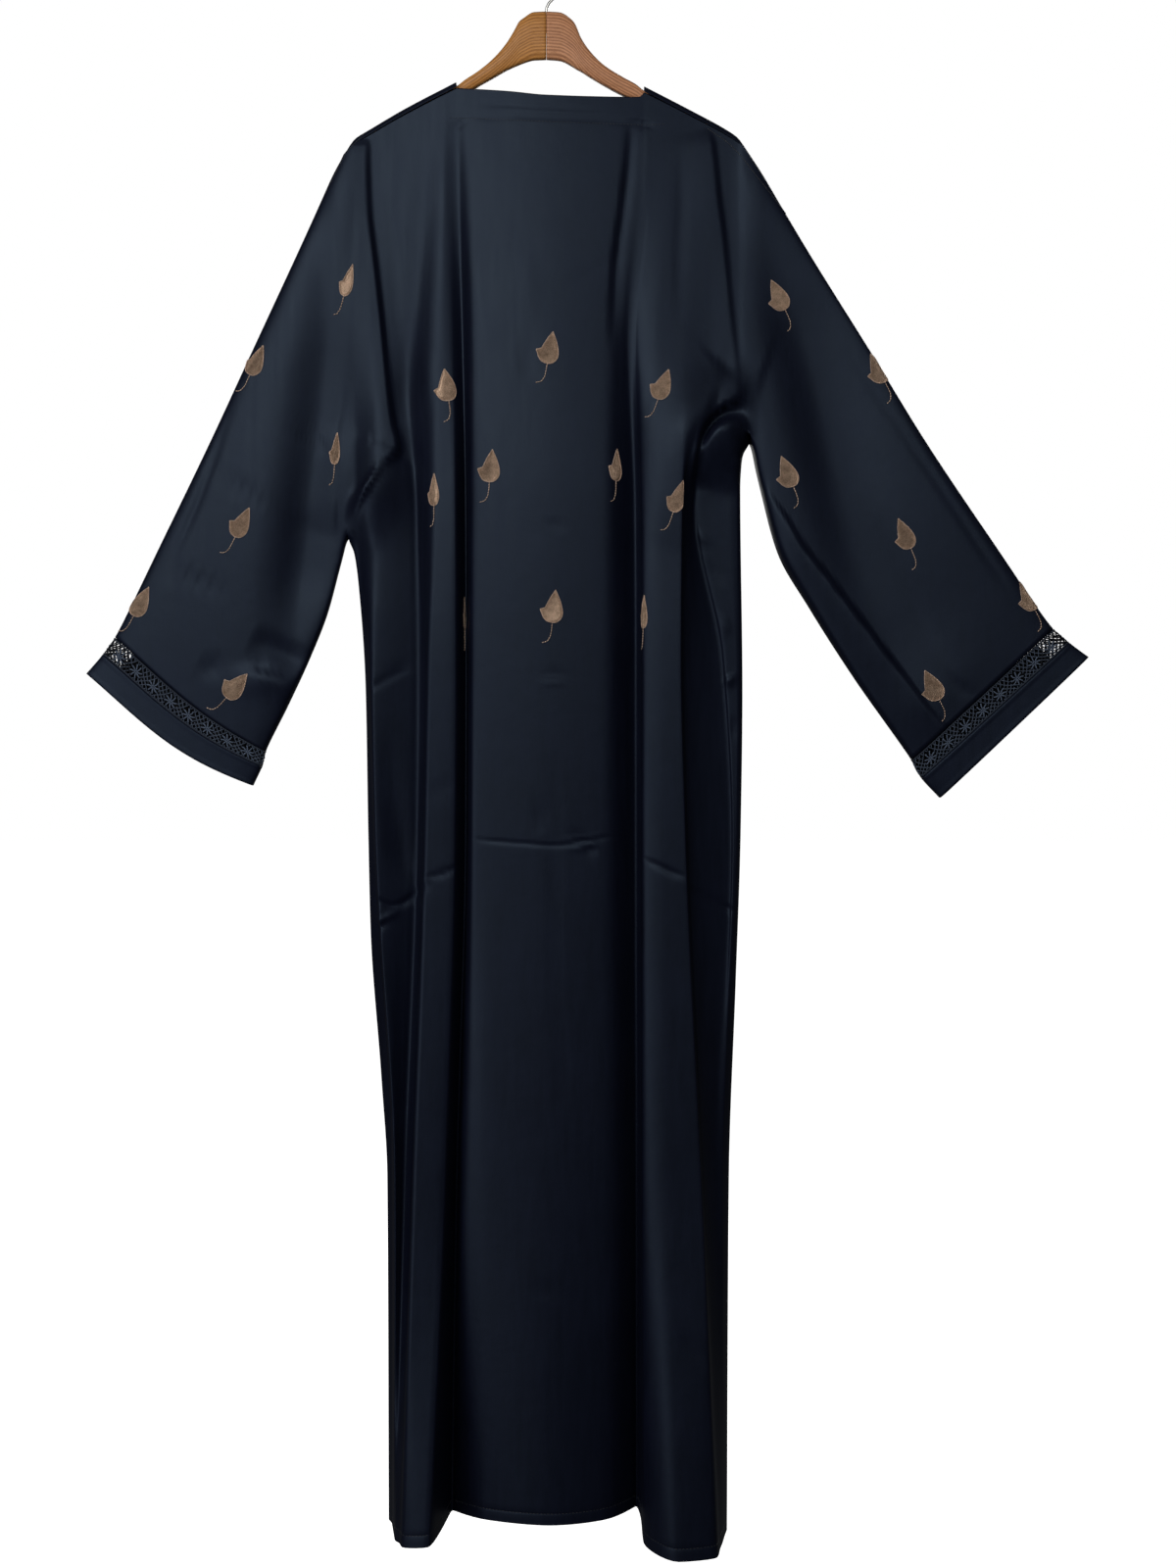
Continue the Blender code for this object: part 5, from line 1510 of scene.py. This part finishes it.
def satin_finish(name="satin", colour=(0.0036, 0.0044, 0.0125), roughness=0.48):
    """Soft satin: fine lengthwise threads, faint slubs and an even, slightly cloudy shade."""
    cloth = Finish(name, colour, roughness, Specular_IOR_Level=0.33)
    cloth.shader.inputs["Specular Tint"].default_value = (0.54, 0.73, 1, 1)
    warp = cloth.noise(cloth.place((1, 1, 0.06)), 1500, 2.0)
    weft = cloth.noise(cloth.place((0.06, 1, 1)), 1300, 2.0)
    slubs = cloth.noise(cloth.place((1, 1, 0.12)), 160, 3.0)
    clouds = cloth.noise(cloth.place(), 14, 3.0)
    dimples = cloth.noise(cloth.place(), 60, 3.0)
    shade = 0.3 * clouds + 0.35 * slubs + 0.35 * warp
    light = tuple(1.35 * c for c in colour)
    dark = tuple(0.68 * c for c in colour)
    cloth.set("Base Color", cloth.blend(shade.between(0.32, 0.68), dark, light))
    cloth.set("Roughness", roughness - 0.05 + 0.1 * slubs)
    cloth.bump(0.10 * warp + 0.08 * weft + 0.2 * slubs + 0.8 * dimples, 0.0006, 0.5)
    return cloth.material


def lace_finish():
    """Lace thread with painted shade: the deeper in the lace, the darker, as each thread's shade value blends it from
    the lit colour to the shaded one.
    """
    # painted light and shade: the light colour is the lit look of the black thread, the dark one its look in shade
    shaded_thread, lit_thread = (0.003, 0.0045, 0.009), (0.092, 0.12, 0.178)
    thread = Finish("lace_thread", lit_thread, 0.6, Specular_IOR_Level=0.2)
    length = thread.node("ShaderNodeVectorMath", {"operation": "LENGTH"}, (thread.named("shade"),))
    twist = thread.noise(thread.place(), 2600, 2.0)
    thread.set("Base Color", thread.blend(Value(thread, length.outputs["Value"]), shaded_thread, lit_thread))
    thread.set("Roughness", 0.52 + 0.2 * twist)
    thread.bump(twist, 0.0002, 0.8)
    return thread.material


def gold_fill_finish():
    """Fill stitches of metallic thread: lengthwise rows, with painted glints of highlight in the base colour and a
    mottled shade.
    """
    fill = Finish("rose_gold_fill", (0.45, 0.29, 0.2), 0.42, Metallic=0.65)
    along_leaf = fill.named("leaf")
    rows = fill.waves(fill.stretched(along_leaf, (1, 0.12, 1)), 460, "X", 1.5)
    mottle = fill.noise(fill.place(), 900, 3.0, 0.65)
    patches = fill.noise(fill.place(), 160, 2.0)
    painted_glints = fill.cells(fill.place(), 1700).between(0.18, 0.0)
    shade = (0.6 * mottle + 0.4 * patches).between(0.3, 0.72)
    brown = fill.blend(shade, (0.27, 0.17, 0.115), (0.88, 0.63, 0.46))
    # painted highlight: pale glints mixed into the base colour at small random spots
    fill.set("Base Color", fill.blend(0.5 * painted_glints, brown, (1, 0.9, 0.78)))
    fill.set("Roughness", 0.36 + 0.25 * mottle)
    fill.bump(0.6 * rows + 0.6 * mottle, 0.0003, 0.9)
    return fill.material


def gold_thread_finish():
    thread = Finish("rose_gold_thread", (0.66, 0.47, 0.36), 0.34, Metallic=0.6)
    mottle = thread.noise(thread.place(), 1100, 2.0)
    thread.set("Base Color", thread.blend(mottle.between(0.3, 0.7), (0.42, 0.28, 0.2), (0.8, 0.6, 0.48)))
    thread.bump(mottle, 0.0002, 0.5)
    return thread.material


def wood_finish(name, dark, light):
    """Clear varnished wood with its grain along the arm."""
    wood = Finish(name, light, 0.34, Coat_Weight=0.05, Coat_Roughness=0.25, Specular_IOR_Level=0.2)
    grain_place = wood.named("grain", (0.05, 1, 1))
    bend = wood.noise(wood.named("grain", (0.25, 1, 1)), 60, 2.0)
    rings = wood.waves(grain_place, 95, "Y", 4.0)
    fibres = wood.noise(grain_place, 1500, 3.0, 0.6)
    pores = wood.noise(wood.named("grain", (0.03, 1, 1)), 3600, 1.0).between(0.62, 0.7)
    shade = (0.42 * rings + 0.35 * fibres + 0.3 * bend).between(0.25, 0.85)
    tone = wood.blend(shade, dark, light)
    wood.set("Base Color", wood.blend(0.45 * pores, tone, tuple(0.45 * c for c in dark)))
    wood.set("Roughness", 0.3 + 0.16 * fibres)
    wood.bump(0.5 * fibres - 0.8 * pores, 0.0002, 0.5)
    return wood.material


def wire_finish():
    wire = Finish("plated_wire", (0.72, 0.72, 0.71), 0.22, Metallic=1.0)
    marks = wire.noise(wire.place((1, 1, 0.2)), 900, 2.0)
    wire.set("Roughness", 0.16 + 0.2 * marks)
    wire.bump(marks, 0.0001, 0.3)
    return wire.material


# ---- stage ----
def plain_floor():
    """A pale floor that only the camera sees, so the light on the cloth is the lamps' alone."""
    half = FLOOR_SIZE / 2
    corners = [(x * half, y * half, FLOOR_BELOW) for x, y in ((-1, -1), (1, -1), (1, 1), (-1, 1))]
    mesh = mesh_of("floor", corners, [(0, 1, 2, 3)])
    floor = bpy.data.objects.new("floor", mesh)
    bpy.context.scene.collection.objects.link(floor)
    pale = Finish("pale_floor", (1, 1, 1), 1.0, Emission_Strength=1.0)
    pale.shader.inputs["Emission Color"].default_value = (1, 1, 1, 1)
    mesh.materials.append(pale.material)
    floor.visible_diffuse = False
    floor.visible_glossy = False
    floor.visible_shadow = False


def daylight():
    """White to the camera, and a weak even light on the object."""
    world = bpy.data.worlds.new("studio")
    bpy.context.scene.world = world
    world.use_nodes = True
    tree = world.node_tree
    background = tree.nodes["Background"]
    background.inputs["Color"].default_value = (1, 1, 1, 1)
    rays = tree.nodes.new("ShaderNodeLightPath")
    strength = tree.nodes.new("ShaderNodeMapRange")
    strength.inputs["To Min"].default_value = WORLD_LIGHT
    strength.inputs["To Max"].default_value = 1.0
    tree.links.new(rays.outputs["Is Camera Ray"], strength.inputs["Value"])
    tree.links.new(strength.outputs["Result"], background.inputs["Strength"])


def soft_light(name, place_at, aim, width, height, power, colour):
    lamp = bpy.data.lights.new(name, "AREA")
    lamp.shape = "RECTANGLE"
    lamp.size = width
    lamp.size_y = height
    lamp.energy = power
    lamp.color = colour
    obj = bpy.data.objects.new(name, lamp)
    obj.location = place_at
    obj.rotation_euler = (Vector(aim) - Vector(place_at)).to_track_quat("-Z", "Y").to_euler()
    obj.visible_camera = False
    bpy.context.scene.collection.objects.link(obj)


def camera():
    view = bpy.data.cameras.new("camera")
    view.lens = CAMERA_LENS
    view.sensor_width = 36
    obj = bpy.data.objects.new("camera", view)
    obj.location = CAMERA_PLACE
    obj.rotation_euler = (math.pi / 2, 0, 0)
    bpy.context.scene.collection.objects.link(obj)
    bpy.context.scene.camera = obj


def main():
    camera()
    bpy.context.scene.view_settings.view_transform = "Standard"
    plain_floor()
    daylight()
    for light in LIGHTS:
        soft_light(*light)

    satin = satin_finish()
    band_satin = satin_finish("band_satin", (0.0042, 0.0054, 0.0145), 0.5)
    thread = lace_finish()
    gold_fill = gold_fill_finish()
    gold_thread = gold_thread_finish()
    black_thread = Finish("black_thread", (0.012, 0.014, 0.02), 0.5, Sheen_Weight=0.2).material

    behind = back_cloth(satin)
    left = front_cloth("front_left", FRONT_FOLDS_LEFT, FRONT_NECK_LEFT, SLEEVE_LEFT, SIDE_LEFT, -1, satin)
    right = front_cloth("front_right", FRONT_FOLDS_RIGHT, FRONT_NECK_RIGHT, SLEEVE_RIGHT, SIDE_RIGHT, 1, satin)

    tree = bead_tree()
    back_surface = Surface([behind, left, right])
    on_back = leaves("leaves_back", back_surface, 1, BACK_LEAVES, gold_fill, tree, gold_thread)
    front_surface = Surface([left, right])
    halves = {side: [row for row in FRONT_LEAVES if row[0] * side > 0] for side in (-1, 1)}
    on_left = leaves("leaves_front_left", front_surface, -1, halves[-1], gold_fill, tree, gold_thread)
    on_right = leaves("leaves_front_right", front_surface, -1, halves[1], gold_fill, tree, gold_thread)

    hem = [on_cloth(back_surface, hem_line(BACK_FOLDS, 1))]
    on_back.append(stitches("hem_stitches_back", tree, hem, black_thread))
    for names, table, row, inwards, pieces in (
        ("left", FRONT_FOLDS_LEFT, -1, -EDGE_STITCH_IN, on_left),
        ("right", FRONT_FOLDS_RIGHT, 0, EDGE_STITCH_IN, on_right),
    ):
        lines = [hem_line(table, -1), front_edge_line(table, row, inwards)]
        lines = [on_cloth(front_surface, line) for line in lines]
        pieces.append(stitches(f"hem_stitches_{names}", tree, lines, black_thread))
    neck = [drawn_on(back_surface, 1, NECK_STITCHES)]
    on_back.append(stitches("neck_stitches", tree, neck, black_thread))
    seams = [drawn_on(back_surface, 1, seam) for seam in OVERARM_SEAMS]
    on_back.append(stitches("overarm_seams", tree, seams, black_thread, SEAM_STITCH))

    for obj in (behind, left, right):
        add_wall(obj, CLOTH)
    yellow_wood = wood_finish("yellow_wood", (0.33, 0.13, 0.03), (0.66, 0.30, 0.085))
    arm_left = hanger_arm("arm_left", ARM_LEFT, -1, yellow_wood, "hanger_arm_left")
    red_wood = wood_finish("red_wood", (0.33, 0.135, 0.065), (0.74, 0.36, 0.19))
    arm_right = hanger_arm("arm_right", ARM_RIGHT, 1, red_wood, "hanger_arm_right")
    hook(wire_finish(), "hook")

    for side, stations, front, lace_cut, cuff_cut in (
        ("left", SLEEVE_LEFT, left, LACE_CUT_LEFT, CUFF_CUT_LEFT),
        ("right", SLEEVE_RIGHT, right, LACE_CUT_RIGHT, CUFF_CUT_RIGHT),
    ):
        band = lace(f"lace_insertion_{side}", stations, thread, f"lace_{side}")
        end = cuff(f"cuff_band_{side}", stations, band_satin, f"cuff_{side}")


main()
